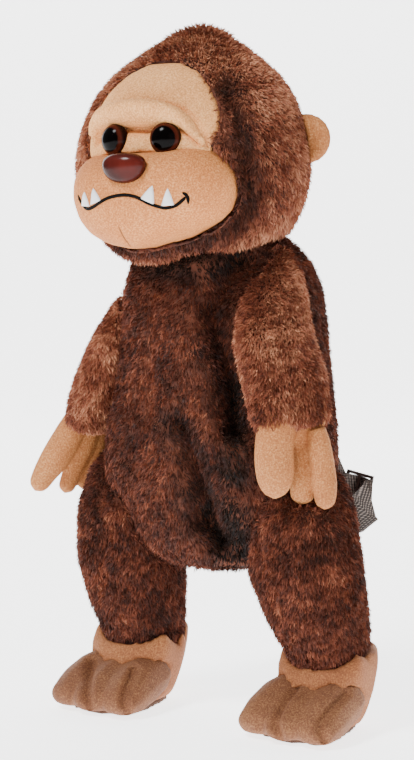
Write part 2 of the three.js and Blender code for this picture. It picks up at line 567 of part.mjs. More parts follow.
// Arms, hands, legs and feet of each side
const headInAll = outside(headGroup, headForm(gap));
for (const side of sides) {
  const { name, s } = side;

  const armFacing = radians(side.armFacing);
  const armWide = new THREE.Vector3(Math.cos(armFacing), s * Math.sin(armFacing), 0);
  const shoulder = new THREE.Vector3(
    s * side.shoulder.out * bag.halfWidth,
    -side.shoulder.fore * bag.halfDepth,
    bagZ(side.shoulder.level),
  );
  const armRows = armSections.map((row) => ({
    at: shoulder.clone().add(new THREE.Vector3(
      s * row.out * side.reach.out, -row.fore * side.reach.fore, -row.down * arm.length,
    )),
    wide: (row.wide * arm.width) / 2,
    deep: (row.deep * arm.thickness) / 2,
  }));
  const armForm = (grow) => solid(limb(armRows, armWide, { count: 14, grow }));
  piece(
    group, `arm_${name}`,
    armForm(0).subtract(bagClear).subtract(headInAll), furFinish(),
  );

  // The hand hangs from the sleeve's end: its own -Z runs along the fingers, X across them
  const wrist = armRows[armRows.length - 1].at;
  const { handAlong } = side;
  const upHand = new THREE.Vector3(-s * handAlong.out, handAlong.fore, handAlong.down).normalize();
  const handFacing = radians(side.handFacing);
  const handWide = new THREE.Vector3(Math.cos(handFacing), s * Math.sin(handFacing), 0);
  handWide.addScaledVector(upHand, -handWide.dot(upHand)).normalize();
  const handGroup = new THREE.Group();
  handGroup.applyMatrix4(
    new THREE.Matrix4().makeBasis(handWide, upHand.clone().cross(handWide), upHand),
  );
  handGroup.position.copy(wrist);
  group.add(handGroup);
  const handRows = (sections, length, width, thickness, fromX, toX, top) =>
    sections.map((row) => ({
      at: new THREE.Vector3(
        THREE.MathUtils.lerp(fromX, toX, row.down), 0, top - row.down * length,
      ),
      wide: (row.wide * width) / 2,
      deep: (row.deep * thickness) / 2,
    }));
  const across = new THREE.Vector3(1, 0, 0);
  const handForm = (grow) => {
    let body = solid(limb(
      handRows(palmSections, hand.palm, hand.width, hand.thickness, 0, 0, 0),
      across, { count: 12, grow },
    ));
    for (const place of [-1, 0, 1]) {
      const spread = place * (hand.width - hand.fingerWidth);
      const rows = handRows(
        fingerSections, hand.finger + place * 3, hand.fingerWidth,
        hand.thickness, spread * 0.38, spread * 0.52, -hand.fingerTop,
      );
      body = body.add(solid(limb(rows, across, { count: 7, grow })));
    }
    return body;
  };
  const armClear = inside(handGroup, armForm(gap));
  piece(
    handGroup, `hand_${name}`,
    handForm(0).subtract(armClear).subtract(inside(handGroup, bagClear)), handFinish(),
  );
  const handClear = outside(handGroup, handForm(gap));

  const hip = new THREE.Vector3(s * side.hip.out * bag.halfWidth, 0, hipZ);
  const legRows = legSections.map((row) => ({
    at: hip.clone().add(new THREE.Vector3(
      s * row.out * side.step.out,
      -side.hip.fore - row.fore * side.step.fore,
      -row.down * (leg.length - side.hemUp),
    )),
    wide: (row.wide * leg.width) / 2,
    deep: (row.deep * leg.depth) / 2,
  }));
  const legForm = (grow) =>
    solid(limb(legRows, new THREE.Vector3(1, 0, 0), { count: 14, grow }));
  piece(
    group, `leg_${name}`,
    legForm(0).subtract(bagClear).subtract(handClear), furFinish(),
  );

  const footGroup = new THREE.Group();
  footGroup.position.set(
    s * (side.hip.out * bag.halfWidth + side.step.out), -side.footFore, 0,
  );

  group.add(footGroup);
  const soleTop = sole.thickness + gap;
  const floorCut = solid(box(
    4 * foot.length, 4 * foot.length, 2 * foot.height, 0, 0, soleTop - foot.height,
  ));
  const toeBody = (grow) => {
    let body = null;
    for (const place of [-1, 0, 1]) {
      const tipY = Math.abs(place) * toe.length * 0.06 - foot.length / 2;
      const reach = toe.length * (1 - 0.2 * Math.abs(place));
      const rows = toeSections.map((row) => ({
        at: new THREE.Vector3(
          (place * (foot.width - toe.width)) / 2 + place * toe.splay * (row.along - 0.7),
          tipY + (1 - row.along) * reach,
          soleTop + toe.height * 0.12 + (1 - row.drop) * toe.drop,
        ),
        wide: (row.wide * toe.width) / 2,
        deep: (row.deep * toe.height) / 2,
      }));
      const lobe = solid(limb(rows, new THREE.Vector3(1, 0, 0), { count: 8, grow }));
      body = body ? body.add(lobe) : lobe;
    }
    return body;
  };
  const heelForm = (grow) => solid(upright(heelSections, {
    base: soleTop, height: foot.height - soleTop, halfWidth: foot.width / 2,
    front: foot.length / 2, back: foot.length / 2,
  }, { count: 12, grow }));
  const legClear = inside(footGroup, legForm(gap));
  piece(
    footGroup, `foot_${name}`,
    heelForm(0).subtract(toeBody(gap)).subtract(legClear), handFinish(),
  );
  piece(
    footGroup, `toe_cap_${name}`,
    toeBody(0).subtract(floorCut).subtract(legClear), toeFinish(),
  );
  const soleOutline = [
    [-0.78, 0.2], [-0.94, -0.3], [-0.98, -0.78], [-0.74, -0.94], [-0.46, -0.88], [-0.24, -1.0],
    [0.24, -1.0], [0.46, -0.88], [0.74, -0.94], [0.98, -0.78], [0.94, -0.3], [0.78, 0.2],
    [0.6, 0.58], [0.3, 0.72], [-0.3, 0.72], [-0.6, 0.58],
  ].map(([x, y]) => [x * (foot.width / 2 - sole.inset), y * (foot.length / 2 - sole.inset)]);
  const soleFlat = new THREE.Shape(soleOutline.map(([x, y]) => new THREE.Vector2(x, y)));
  const soleBody = new THREE.ExtrudeGeometry(soleFlat, { depth: sole.thickness, bevelEnabled: false });
  piece(footGroup, `sole_${name}`, solid(soleBody), soleFinish());
}

// Webbing straps: sewn to the top of the back, hanging slack, through a tri-glide near the hip
// and back to the lower side. Lean turns the webbing's width from level (0) to upright (90)
const strapPath = [
  { out: 0.24, back: 0.6, level: 0.9, lean: 0, loose: 0 },
  { out: 0.25, back: 0.83, level: 0.885, lean: 0, loose: 0 },
  { out: 0.26, back: 0.98, level: 0.84, lean: 0, loose: 0 },
  { out: 0.27, back: 1.07, level: 0.74, lean: 2, loose: 0.05 },
  { out: 0.28, back: 1.13, level: 0.6, lean: 6, loose: 0.15 },
  { out: 0.3, back: 1.17, level: 0.44, lean: 14, loose: 0.4 },
  { out: 0.35, back: 1.2, level: 0.3, lean: 38, loose: 0.75 },
  { out: 0.45, back: 1.205, level: 0.212, lean: 66, loose: 1 },
];
const glideAt = { out: 0.635, back: 1.245, level: 0.195, lean: 76, loose: 1 };
const tailPath = [
  { out: 0.765, back: 1.285, level: 0.187, lean: 76, loose: 1 },
  { out: 0.785, back: 1.18, level: 0.162, lean: 66, loose: 0.95 },
  { out: 0.75, back: 0.99, level: 0.135, lean: 46, loose: 0.75 },
  { out: 0.68, back: 0.8, level: 0.122, lean: 32, loose: 0.4 },
  { out: 0.58, back: 0.62, level: 0.114, lean: 26, loose: 0 },
  { out: 0.46, back: 0.42, level: 0.11, lean: 24, loose: 0 },
];
const strapPoint = (side, row) => new THREE.Vector3(
  side.s * row.out * bag.halfWidth * THREE.MathUtils.lerp(1, side.strap.out, row.loose),
  row.back * bag.halfDepth * THREE.MathUtils.lerp(1, side.strap.back, row.loose),
  bagZ(row.level) - side.strap.sag * row.loose,
);
const widthAxis = (side, lean) =>
  new THREE.Vector3(side.s * Math.cos(radians(lean)), 0, -Math.sin(radians(lean)));
// Where the webbing dips under the outer bars and climbs over the middle one, as shares
const weave = [
  { run: -1.1, rise: 0 }, { run: -0.72, rise: 0 }, { run: -0.44, rise: 1 },
  { run: -0.16, rise: 2 }, { run: 0.16, rise: 2 }, { run: 0.44, rise: 1 },
  { run: 0.72, rise: 0 }, { run: 1.1, rise: 0 },
];
for (const side of sides) {
  const middle = strapPoint(side, glideAt);
  const before = strapPoint(side, strapPath[strapPath.length - 1]);
  const after = strapPoint(side, tailPath[0]);
  const run = after.clone().sub(before).normalize();
  const wide = widthAxis(side, glideAt.lean);
  wide.addScaledVector(run, -wide.dot(run)).normalize();
  const rise = run.clone().cross(wide).multiplyScalar(side.s);
  const clear = (glide.thickness + webbing.thickness) / 2 + 2 * gap;
  const rows = [
    ...strapPath.map((row) => ({ at: strapPoint(side, row), axis: widthAxis(side, row.lean) })),
    ...weave.map((row) => ({
      at: middle.clone().addScaledVector(run, (row.run * glide.length) / 2)
        .addScaledVector(rise, row.rise * clear),
      axis: wide,
      along: run,
    })),
    ...tailPath.map((row) => ({ at: strapPoint(side, row), axis: widthAxis(side, row.lean) })),
  ];
  const path = new THREE.CatmullRomCurve3(rows.map((row) => row.at), false, 'centripetal');
  const axes = new THREE.CatmullRomCurve3(rows.map((row) => row.axis));
  const steps = rows.length - 1;
  const rings = rows.map((row, index) => {
    const share = index / steps;
    const at = path.getPoint(share);
    const along = row.along ?? path.getTangent(share);
    const axis = axes.getPoint(share);
    axis.addScaledVector(along, -axis.dot(along)).setLength(webbing.width / 2);
    const up = along.clone().cross(axis).setLength(webbing.thickness / 2);
    return [
      at.clone().add(axis).add(up), at.clone().sub(axis).add(up),
      at.clone().sub(axis).sub(up), at.clone().add(axis).sub(up),
    ];
  });
  const strap = solid(skin(rings)).subtract(bagClear);
  piece(group, `strap_${side.name}`, strap, webbingFinish());

  const slotLength = (glide.length - 3 * glide.bar) / 2;
  let frame = solid(box(glide.length, glide.frame, glide.thickness, 0, 0, 0));
  for (const place of [-1, 1]) {
    frame = frame.subtract(solid(box(
      slotLength, glide.frame - 2 * glide.bar, 2 * glide.thickness,
      (place * (slotLength + glide.bar)) / 2, 0, 0,
    )));
  }
  const mesh = piece(group, `adjuster_${side.name}`, frame, hardFinish('#3a2c28'));
  mesh.applyMatrix4(new THREE.Matrix4().makeBasis(run, wide, run.clone().cross(wide)));
  mesh.position.copy(middle).addScaledVector(rise, clear);
}

// Stand the figure on the middle of its footprint
const boundsOfAll = new THREE.Box3().setFromObject(group, true);
const middleOfAll = boundsOfAll.getCenter(new THREE.Vector3()).setZ(0);
for (const child of group.children) child.position.sub(middleOfAll);

export default group;
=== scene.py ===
"""Looks of the plush ape backpack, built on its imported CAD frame."""

import json
import math

import bpy
import numpy as np
from mathutils import Matrix, Vector, noise
from mathutils.bvhtree import BVHTree

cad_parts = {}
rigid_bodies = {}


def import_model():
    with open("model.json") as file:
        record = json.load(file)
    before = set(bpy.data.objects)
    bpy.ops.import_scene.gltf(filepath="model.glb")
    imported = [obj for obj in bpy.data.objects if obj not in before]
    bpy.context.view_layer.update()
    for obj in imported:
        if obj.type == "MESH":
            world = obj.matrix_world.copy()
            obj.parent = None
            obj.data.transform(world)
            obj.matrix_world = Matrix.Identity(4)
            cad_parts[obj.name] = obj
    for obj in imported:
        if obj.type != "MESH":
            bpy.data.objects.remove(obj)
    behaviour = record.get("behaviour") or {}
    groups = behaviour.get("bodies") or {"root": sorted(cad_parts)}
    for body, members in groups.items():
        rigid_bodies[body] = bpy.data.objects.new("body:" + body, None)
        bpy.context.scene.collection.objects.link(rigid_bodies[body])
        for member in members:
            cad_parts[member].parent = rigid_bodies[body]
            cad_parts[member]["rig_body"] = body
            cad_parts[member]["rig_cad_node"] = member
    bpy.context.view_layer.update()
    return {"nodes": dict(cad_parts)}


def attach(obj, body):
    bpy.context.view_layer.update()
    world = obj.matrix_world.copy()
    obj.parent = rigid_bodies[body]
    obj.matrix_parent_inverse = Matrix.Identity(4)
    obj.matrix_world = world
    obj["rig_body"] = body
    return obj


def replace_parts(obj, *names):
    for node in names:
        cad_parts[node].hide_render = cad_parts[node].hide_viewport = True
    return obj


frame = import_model()
nodes = frame["nodes"]

# Camera: in front and to the figure's left, a little above the middle.
# The photograph's own frame is 414 x 760, and its long side sets the lens.
PHOTO_WIDE, PHOTO_HIGH = 414, 760
FOCAL_PIXELS = 1914
AIM = Vector((0.0008, 0.0095, 0.235))
AIM_PIXEL = (222.0, 370.2)
TOWARDS_CAMERA = Vector((0.5863, -0.8070, 0.0698)).normalized()
CAMERA_DISTANCE = 1.3

camera_data = bpy.data.cameras.new("camera")
camera = bpy.data.objects.new("camera", camera_data)
bpy.context.scene.collection.objects.link(camera)
camera.location = AIM + TOWARDS_CAMERA * CAMERA_DISTANCE
camera.rotation_euler = TOWARDS_CAMERA.to_track_quat("Z", "Y").to_euler()
camera_data.sensor_width = 36
camera_data.lens = FOCAL_PIXELS / PHOTO_HIGH * camera_data.sensor_width
camera_data.shift_x = (PHOTO_WIDE / 2 - AIM_PIXEL[0]) / PHOTO_HIGH
camera_data.shift_y = (AIM_PIXEL[1] - PHOTO_HIGH / 2) / PHOTO_HIGH
bpy.context.scene.camera = camera

# Floor and light: a white floor that glows and curves up behind, one large
# soft key high on the camera's left, a weak wide fill on its right, a rim light
# behind and a dim white world.


def linear(text):
    """An sRGB hex colour as the linear RGBA that the shaders take."""
    shares = [int(text[i:i + 2], 16) / 255 for i in (1, 3, 5)]
    return [s / 12.92 if s <= 0.04045 else ((s + 0.055) / 1.055) ** 2.4 for s in shares] + [1.0]


def add(tree, kind, inputs=None, **settings):
    """Adds a node, gives it its settings, and sets or links its inputs."""
    made = tree.nodes.new(kind)
    for name, value in settings.items():
        setattr(made, name, value)
    for name, value in (inputs or {}).items():
        if isinstance(value, bpy.types.NodeSocket):
            tree.links.new(value, made.inputs[name])
        else:
            made.inputs[name].default_value = value
    return made


def material(name, colour, roughness, **sockets):
    """A new material whose shader has these constants, with its tree and shader."""
    made = bpy.data.materials.new(name)
    made.use_nodes = True
    shader = made.node_tree.nodes["Principled BSDF"]
    shader.inputs["Base Color"].default_value = linear(colour)
    shader.inputs["Roughness"].default_value = roughness
    for socket, value in sockets.items():
        shader.inputs[socket.replace("_", " ").title().replace("Ior", "IOR")].default_value = value
    return made, made.node_tree, shader


def ramp(tree, factor, stops):
    """A colour ramp from places and hex colours."""
    made = add(tree, "ShaderNodeValToRGB", {"Fac": factor})
    band = made.color_ramp
    while len(band.elements) < len(stops):
        band.elements.new(1.0)
    for element, (place, colour) in zip(band.elements, stops):
        element.position = place
        element.color = linear(colour)
    return made.outputs["Color"]


floor_paint, _, shader = material("matt_white_floor", "#fbfbfb", 0.9)
shader.inputs["Emission Color"].default_value = (1.0, 1.0, 1.0, 1.0)
shader.inputs["Emission Strength"].default_value = 2.8
FLOOR_HALF, FLOOR_BACK, WALL_HIGH, SWEEP = 3.0, 1.6, 3.0, 1.0
sweep = [(-4.0, 0.0), (FLOOR_BACK, 0.0)]
for step in range(1, 9):
    turn = step / 8 * math.pi / 2
    sweep.append((FLOOR_BACK + SWEEP * math.sin(turn), SWEEP * (1 - math.cos(turn))))
sweep.append((FLOOR_BACK + SWEEP, WALL_HIGH))
view_turn = Matrix.Rotation(math.atan2(-TOWARDS_CAMERA.x, TOWARDS_CAMERA.y) + math.pi, 3, "Z")
floor_points = [view_turn @ Vector((side * FLOOR_HALF, y, z)) for y, z in sweep for side in (-1, 1)]
floor_faces = [(2 * i, 2 * i + 1, 2 * i + 3, 2 * i + 2) for i in range(len(sweep) - 1)]
floor_mesh = bpy.data.meshes.new("studio_floor")
floor_mesh.from_pydata(floor_points, [], floor_faces)
floor_mesh.polygons.foreach_set("use_smooth", [True] * len(floor_faces))
floor_mesh.materials.append(floor_paint)
studio_floor = bpy.data.objects.new("studio_floor", floor_mesh)
bpy.context.scene.collection.objects.link(studio_floor)

LAMPS = [
    # name, place, size, watts
    ("key", (-0.45, -1.55, 2.2), 0.72, 68),
    ("fill", (1.9, -1.1, 0.8), 1.6, 3),
    ("rim", (0.9, 1.5, 1.6), 1.0, 12),
]
for name, place, size, watts in LAMPS:
    lamp_data = bpy.data.lights.new(name, "AREA")
    lamp_data.shape = "DISK"
    lamp_data.size = size
    lamp_data.energy = watts
    lamp = bpy.data.objects.new(name, lamp_data)
    lamp.location = place
    lamp.rotation_euler = (Vector(place) - AIM).to_track_quat("Z", "Y").to_euler()
    bpy.context.scene.collection.objects.link(lamp)
world = bpy.data.worlds.new("studio")
world.use_nodes = True
world.node_tree.nodes["Background"].inputs["Color"].default_value = (1.0, 1.0, 1.0, 1.0)
world.node_tree.nodes["Background"].inputs["Strength"].default_value = 0.35
bpy.context.scene.world = world

# Finishes. Fur pile: acrylic long pile, dark brown at the root and lighter at
# the tip, with a soft gloss. Its colours come from the tufts' own attribute.
fur_pile, tree, shader = material(
    "acrylic_fur_pile", "#5a3222", 0.6, sheen_weight=0.15, specular_ior_level=0.25,
)
shader.inputs["Sheen Tint"].default_value = linear("#d9a27c")
tuft_colour = add(tree, "ShaderNodeAttribute", attribute_name="tuft_colour").outputs["Color"]
tree.links.new(tuft_colour, shader.inputs["Base Color"])

# Fur backing: the knitted ground under the pile, seen only between the tufts.
fur_backing, tree, shader = material("knitted_fur_backing", "#4a281b", 0.9)
spot = add(tree, "ShaderNodeTexCoord").outputs["Object"]
patches = add(tree, "ShaderNodeTexNoise", {"Vector": spot, "Scale": 55.0, "Detail": 4.0})
tree.links.new(
    ramp(tree, patches.outputs["Fac"], [(0.35, "#2c120b"), (0.65, "#6b3824")]),
    shader.inputs["Base Color"],
)


def plush(name, low, middle, high, nap=1.3, rough=0.8):
    """Short-pile plush: a 1 to 1.5 mm nap that catches light in grains, brushed
    a little lighter and darker in patches a few centimetres wide."""
    made, tree, shader = material(name, middle, rough, sheen_weight=0.12, sheen_roughness=0.5)
    shader.inputs["Sheen Tint"].default_value = linear(high)
    spot = add(tree, "ShaderNodeTexCoord").outputs["Object"]
    grain = add(tree, "ShaderNodeTexNoise", {
        "Vector": spot, "Scale": 1000 / nap * 1.2, "Detail": 2.0, "Roughness": 0.6,
    }).outputs["Fac"]
    brushed = add(tree, "ShaderNodeTexNoise", {
        "Vector": spot, "Scale": 26.0, "Detail": 2.0, "Roughness": 0.5,
    }).outputs["Fac"]
    both = add(tree, "ShaderNodeMath", {0: grain, 1: 0.75}, operation="MULTIPLY").outputs[0]
    part = add(tree, "ShaderNodeMath", {0: brushed, 1: 0.25}, operation="MULTIPLY").outputs[0]
    mixed = add(tree, "ShaderNodeMath", {0: both, 1: part}, operation="ADD").outputs[0]
    colour = ramp(tree, mixed, [(0.3, low), (0.5, middle), (0.7, high)])
    tree.links.new(colour, shader.inputs["Base Color"])
    bump = add(tree, "ShaderNodeBump", {"Height": grain, "Strength": 0.7, "Distance": 0.0008})
    tree.links.new(bump.outputs["Normal"], shader.inputs["Normal"])
    return made


# Brow and forehead: paler plush than the muzzle's, partly its own paler tan and partly painted
# light from above.
brow_plush = plush("pale_brow_plush_and_painted_light", "#b8743a", "#e09c5c", "#f6c387")
face_plush = plush("tan_face_plush", "#985320", "#c17538", "#de9e60")
skin_plush = plush("tan_hand_plush", "#824720", "#aa6833", "#c8915a")
# Insteps: the tan plush in darker colours, as painted shade low on the feet.
instep_plush = plush("tan_instep_plush_painted_shade", "#6d3a18", "#8d522b", "#b27947")
toe_plush = plush("brown_toe_plush", "#4d2712", "#714325", "#996a43")

# Soles: brown cloth painted darker than the toes, as painted shade under the feet.
sole_cloth = plush("brown_sole_cloth_painted_shade", "#3d281c", "#573a2a", "#75523c", nap=1.0)

# Webbing: woven nylon in a small diamond weave. The real thread spacing of
# about 0.8 mm is drawn at 2.2 mm so that it shows.
WEAVE_MM = 2.2
nylon_webbing, tree, shader = material("woven_nylon_webbing", "#54423b", 0.55)
spot = add(tree, "ShaderNodeSeparateXYZ", {
    0: add(tree, "ShaderNodeTexCoord").outputs["Object"],
})
threads = []
for sign in (1.0, -1.0):
    leaning = add(tree, "ShaderNodeMath", {
        0: spot.outputs["Z"], 1: sign, 2: spot.outputs["X"],
    }, operation="MULTIPLY_ADD").outputs[0]
    wave = add(tree, "ShaderNodeMath", {
        0: leaning, 1: 2 * math.pi / (WEAVE_MM / 1000),
    }, operation="MULTIPLY").outputs[0]
    threads.append(add(tree, "ShaderNodeMath", {0: wave}, operation="SINE").outputs[0])
diamonds = add(tree, "ShaderNodeMath", {0: threads[0], 1: threads[1]}, operation="MULTIPLY")
height = add(tree, "ShaderNodeMath", {
    0: diamonds.outputs[0], 1: 0.5, 2: 0.5,
}, operation="MULTIPLY_ADD").outputs[0]
# Colour follows the weave's height: near black in its hollows, as painted shade, and pale on its
# raised threads, partly the webbing's own pale thread and partly painted highlight.
tree.links.new(
    ramp(tree, height, [(0.15, "#140e0c"), (0.55, "#40312b"), (0.9, "#a8978c")]),
    shader.inputs["Base Color"],
)
bump = add(tree, "ShaderNodeBump", {"Height": height, "Strength": 0.6, "Distance": 0.0005})
tree.links.new(bump.outputs["Normal"], shader.inputs["Normal"])

# Hardware: moulded dark brown acetal, satin, with a faint moulding grain.
acetal, tree, shader = material("moulded_brown_acetal", "#33241f", 0.35)
spot = add(tree, "ShaderNodeTexCoord").outputs["Object"]
grain = add(tree, "ShaderNodeTexNoise", {"Vector": spot, "Scale": 900.0}).outputs["Fac"]
bump = add(tree, "ShaderNodeBump", {"Height": grain, "Strength": 0.15, "Distance": 0.0002})
tree.links.new(bump.outputs["Normal"], shader.inputs["Normal"])

# Thread: satin stitching lies in tight parallel ridges about 0.6 mm apart.


def satin(name, shade, body, rough, gloss=0.5):
    """Embroidery thread whose ridges run across the stitch."""
    made, tree, shader = material(name, body, rough, specular_ior_level=gloss)
    spot = add(tree, "ShaderNodeTexCoord").outputs["Object"]
    ridges = add(tree, "ShaderNodeTexWave", {
        "Vector": spot, "Scale": 560.0, "Distortion": 0.6, "Detail": 1.0,
    }, bands_direction="Z").outputs["Fac"]
    # The thread is darker between its ridges, as painted shade in the grooves.
    colour = ramp(tree, ridges, [(0.1, shade), (0.6, body)])
    tree.links.new(colour, shader.inputs["Base Color"])
    bump = add(tree, "ShaderNodeBump", {"Height": ridges, "Strength": 0.5, "Distance": 0.0003})
    tree.links.new(bump.outputs["Normal"], shader.inputs["Normal"])
    return made


white_thread = satin("white_satin_thread", "#cfd0d6", "#fcfbfa", 0.45)
black_thread = satin("black_satin_thread", "#020101", "#0a0706", 0.7, gloss=0.08)
seam_thread = satin("tan_seam_thread", "#6b3d1c", "#83502a", 0.85)

# Zip tape: woven polyester, matt, with its weave drawn as fine bars, darker between them as painted
# shade.
zip_tape = satin("woven_zip_tape", "#2f211c", "#4b372f", 0.75)

# Nose and eyes: polished moulded plastic under a clear coat.
nose_plastic, tree, shader = material("polished_nose_plastic", "#3a130e", 0.2, ior=1.24)
spot = add(tree, "ShaderNodeTexCoord").outputs["Object"]
cloud = add(tree, "ShaderNodeTexNoise", {"Vector": spot, "Scale": 60.0, "Detail": 2.0})
tree.links.new(
    ramp(tree, cloud.outputs["Fac"], [(0.35, "#2c0a07"), (0.65, "#4c1812")]),
    shader.inputs["Base Color"],
)

# Eye: a black pupil that fills most of the dome and a thin brown ring, with
# streaks in the ring. The mesh's own "ring" runs from 0 in front to 1 at the rim.
eye_plastic, tree, shader = material("painted_eye_plastic", "#120705", 0.13, ior=1.15)
ring = add(tree, "ShaderNodeAttribute", attribute_name="ring").outputs["Fac"]
spot = add(tree, "ShaderNodeTexCoord").outputs["Object"]
streak = add(tree, "ShaderNodeTexNoise", {"Vector": spot, "Scale": 700.0}).outputs["Fac"]
place = add(tree, "ShaderNodeMath", {0: streak, 1: 0.03, 2: ring}, operation="MULTIPLY_ADD")
tree.links.new(
    ramp(tree, place.outputs[0], [
        (0.0, "#020101"), (0.74, "#030101"), (0.78, "#35130b"), (0.9, "#421a10"), (0.98, "#160805"),
    ]),
    shader.inputs["Base Color"],
)

# Padded forms: each is the CAD solid's own form, remeshed and smoothed. Those
# that should look stuffed are blown up a little by the cloth solver, and those
# with no fur are subdivided.


def deselect():
    """Leaves nothing selected and no active object."""
    bpy.ops.object.select_all(action="DESELECT")


def joined_copy(name, node_names):
    """One merged mesh from copies of CAD nodes, as a new object at the origin."""
    deselect()
    copies = []
    for node_name in node_names:
        made = nodes[node_name].copy()
        made.data = nodes[node_name].data.copy()
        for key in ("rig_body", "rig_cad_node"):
            if key in made:
                del made[key]
        made.parent = None
        bpy.context.scene.collection.objects.link(made)
        made.select_set(True)
        copies.append(made)
    bpy.context.view_layer.objects.active = copies[0]
    if len(copies) > 1:
        bpy.ops.object.join()
    piece = bpy.context.view_layer.objects.active
    piece.name = name
    piece.data.name = name
    bpy.ops.object.mode_set(mode="EDIT")
    bpy.ops.mesh.select_all(action="SELECT")
    bpy.ops.mesh.remove_doubles(threshold=0.00001)
    bpy.ops.object.mode_set(mode="OBJECT")
    return piece


def corners(piece):
    """The places of a mesh's points as one array."""
    flat = np.empty(len(piece.data.vertices) * 3)
    piece.data.vertices.foreach_get("co", flat)
    return flat.reshape(-1, 3)


def put_corners(piece, places):
    """Writes the places of a mesh's points."""
    piece.data.vertices.foreach_set("co", np.ascontiguousarray(places).ravel())
    piece.data.update()


def apply_modifier(piece, kind, **settings):
    """Adds a modifier with its settings and applies it."""
    deselect()
    piece.select_set(True)
    bpy.context.view_layer.objects.active = piece
    added = piece.modifiers.new(kind.lower(), kind)
    for name, value in settings.items():
        setattr(added, name, value)
    bpy.ops.object.modifier_apply(modifier=added.name)


def blow_up(piece, pressure, most):
    """Swells a piece with the cloth solver; no point moves further than most."""
    before = corners(piece)
    scene = bpy.context.scene
    cloth = piece.modifiers.new("cloth", "CLOTH")
    cloth.settings.use_pressure = True
    cloth.settings.uniform_pressure_force = pressure
    cloth.settings.effector_weights.gravity = 0
    cloth.collision_settings.use_collision = False
    cloth.collision_settings.use_self_collision = False
    for step in range(1, 21):
        scene.frame_set(step)
    shown = piece.evaluated_get(bpy.context.evaluated_depsgraph_get())
    flat = np.empty(len(shown.data.vertices) * 3)
    shown.data.vertices.foreach_get("co", flat)
    after = flat.reshape(-1, 3)
    piece.modifiers.remove(cloth)
    scene.frame_set(1)
    move = after - before
    length = np.linalg.norm(move, axis=1, keepdims=True)
    move *= np.minimum(1.0, most / np.maximum(length, 1e-9))
    put_corners(piece, before + move)


def outwards(piece):
    """The normal of each of a mesh's points."""
    flat = np.empty(len(piece.data.vertices) * 3)
    piece.data.vertex_normals.foreach_get("vector", flat)
    return flat.reshape(-1, 3)


PRESSURE = 4.0


def stuffed(name, node_names, finish, voxel, smooth, most=0.0, levels=1, sink=0.0):
    """A padded piece in the place of CAD nodes. It is remeshed at a voxel size,
    swollen by most at the most, smoothed, subdivided, and drawn in along its
    normals by sink, or let out where sink is negative. Lengths are in metres."""
    piece = joined_copy(name, node_names)
    apply_modifier(piece, "REMESH", mode="VOXEL", voxel_size=voxel)
    if most:
        blow_up(piece, PRESSURE, most)
    apply_modifier(piece, "SMOOTH", iterations=smooth, factor=0.5)
    if levels:
        apply_modifier(piece, "SUBSURF", levels=levels, render_levels=levels)
    if sink:
        put_corners(piece, corners(piece) - outwards(piece) * sink)
    piece.data.polygons.foreach_set("use_smooth", [True] * len(piece.data.polygons))
    piece.data.materials.clear()
    piece.data.materials.append(finish)
    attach(piece, "root")
    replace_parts(piece, *node_names)
    return piece


def tree_of(piece):
    """A search tree over a piece's faces."""
    return BVHTree.FromObject(piece, bpy.context.evaluated_depsgraph_get())


def sight(pixel):
    """The direction in which the camera sees one of the photograph's pixels."""
    ray = Vector((pixel[0] - AIM_PIXEL[0], AIM_PIXEL[1] - pixel[1], -FOCAL_PIXELS)).normalized()
    return camera.rotation_euler.to_matrix() @ ray


def seen(search, pixel):
    """Where the camera sees a surface at one of the photograph's pixels."""
    place, facing, _, _ = search.ray_cast(camera.location, sight(pixel))
    return place, facing


def seen_line(piece, pixels):
    """The places and normals of a piece along a line of the photograph's pixels."""
    search = tree_of(piece)
    found = [seen(search, pixel) for pixel in pixels]
    found = [(np.array(place), np.array(facing)) for place, facing in found if place is not None]
    return np.array([place for place, _ in found]), np.array([facing for _, facing in found])


def apart_from(places, line):
    """How far each place is from a line of points."""
    best = np.full(len(places), 1e9)
    for start, end in zip(line[:-1], line[1:]):
        along = end - start
        share = np.clip((places - start) @ along / (along @ along), 0, 1)
        apart = np.linalg.norm(places - start - share[:, None] * along, axis=1)
        best = np.minimum(best, apart)
    return best


def crease(piece, pixels, wide, deep, through=0.0):
    """Sinks a fold or seam into a piece, and returns its line. In a hollow piece
    all that lies less than through behind the line goes in with it."""
    line, facing = seen_line(piece, pixels)
    inward = -facing.mean(axis=0)
    inward /= np.linalg.norm(inward)
    places = corners(piece)
    if through:
        below = (places - line.mean(axis=0)) @ inward
        flat_line = line - (line @ inward)[:, None] * inward
        apart = apart_from(places - (places @ inward)[:, None] * inward, flat_line)
        sunk = deep * np.exp(-(apart / wide) ** 2) * (below < through)
    else:
        sunk = deep * np.exp(-(apart_from(places, line) / wide) ** 2)
    put_corners(piece, places + sunk[:, None] * inward)
    return line


def smooth_line(points, count):
    """A smooth curve through points, as evenly counted places."""
    points = np.array(points, float)
    ends = np.vstack([2 * points[0] - points[1], points, 2 * points[-1] - points[-2]])
    made = []
    for along in np.linspace(0, len(points) - 1, count):
        index = min(int(along), len(points) - 2)
        t = along - index
        a, b, c, d = ends[index:index + 4]
        made.append(0.5 * (2 * b + (c - a) * t + (2 * a - 5 * b + 4 * c - d) * t ** 2
                           + (3 * b - a - 3 * c + d) * t ** 3))
    return np.array(made)


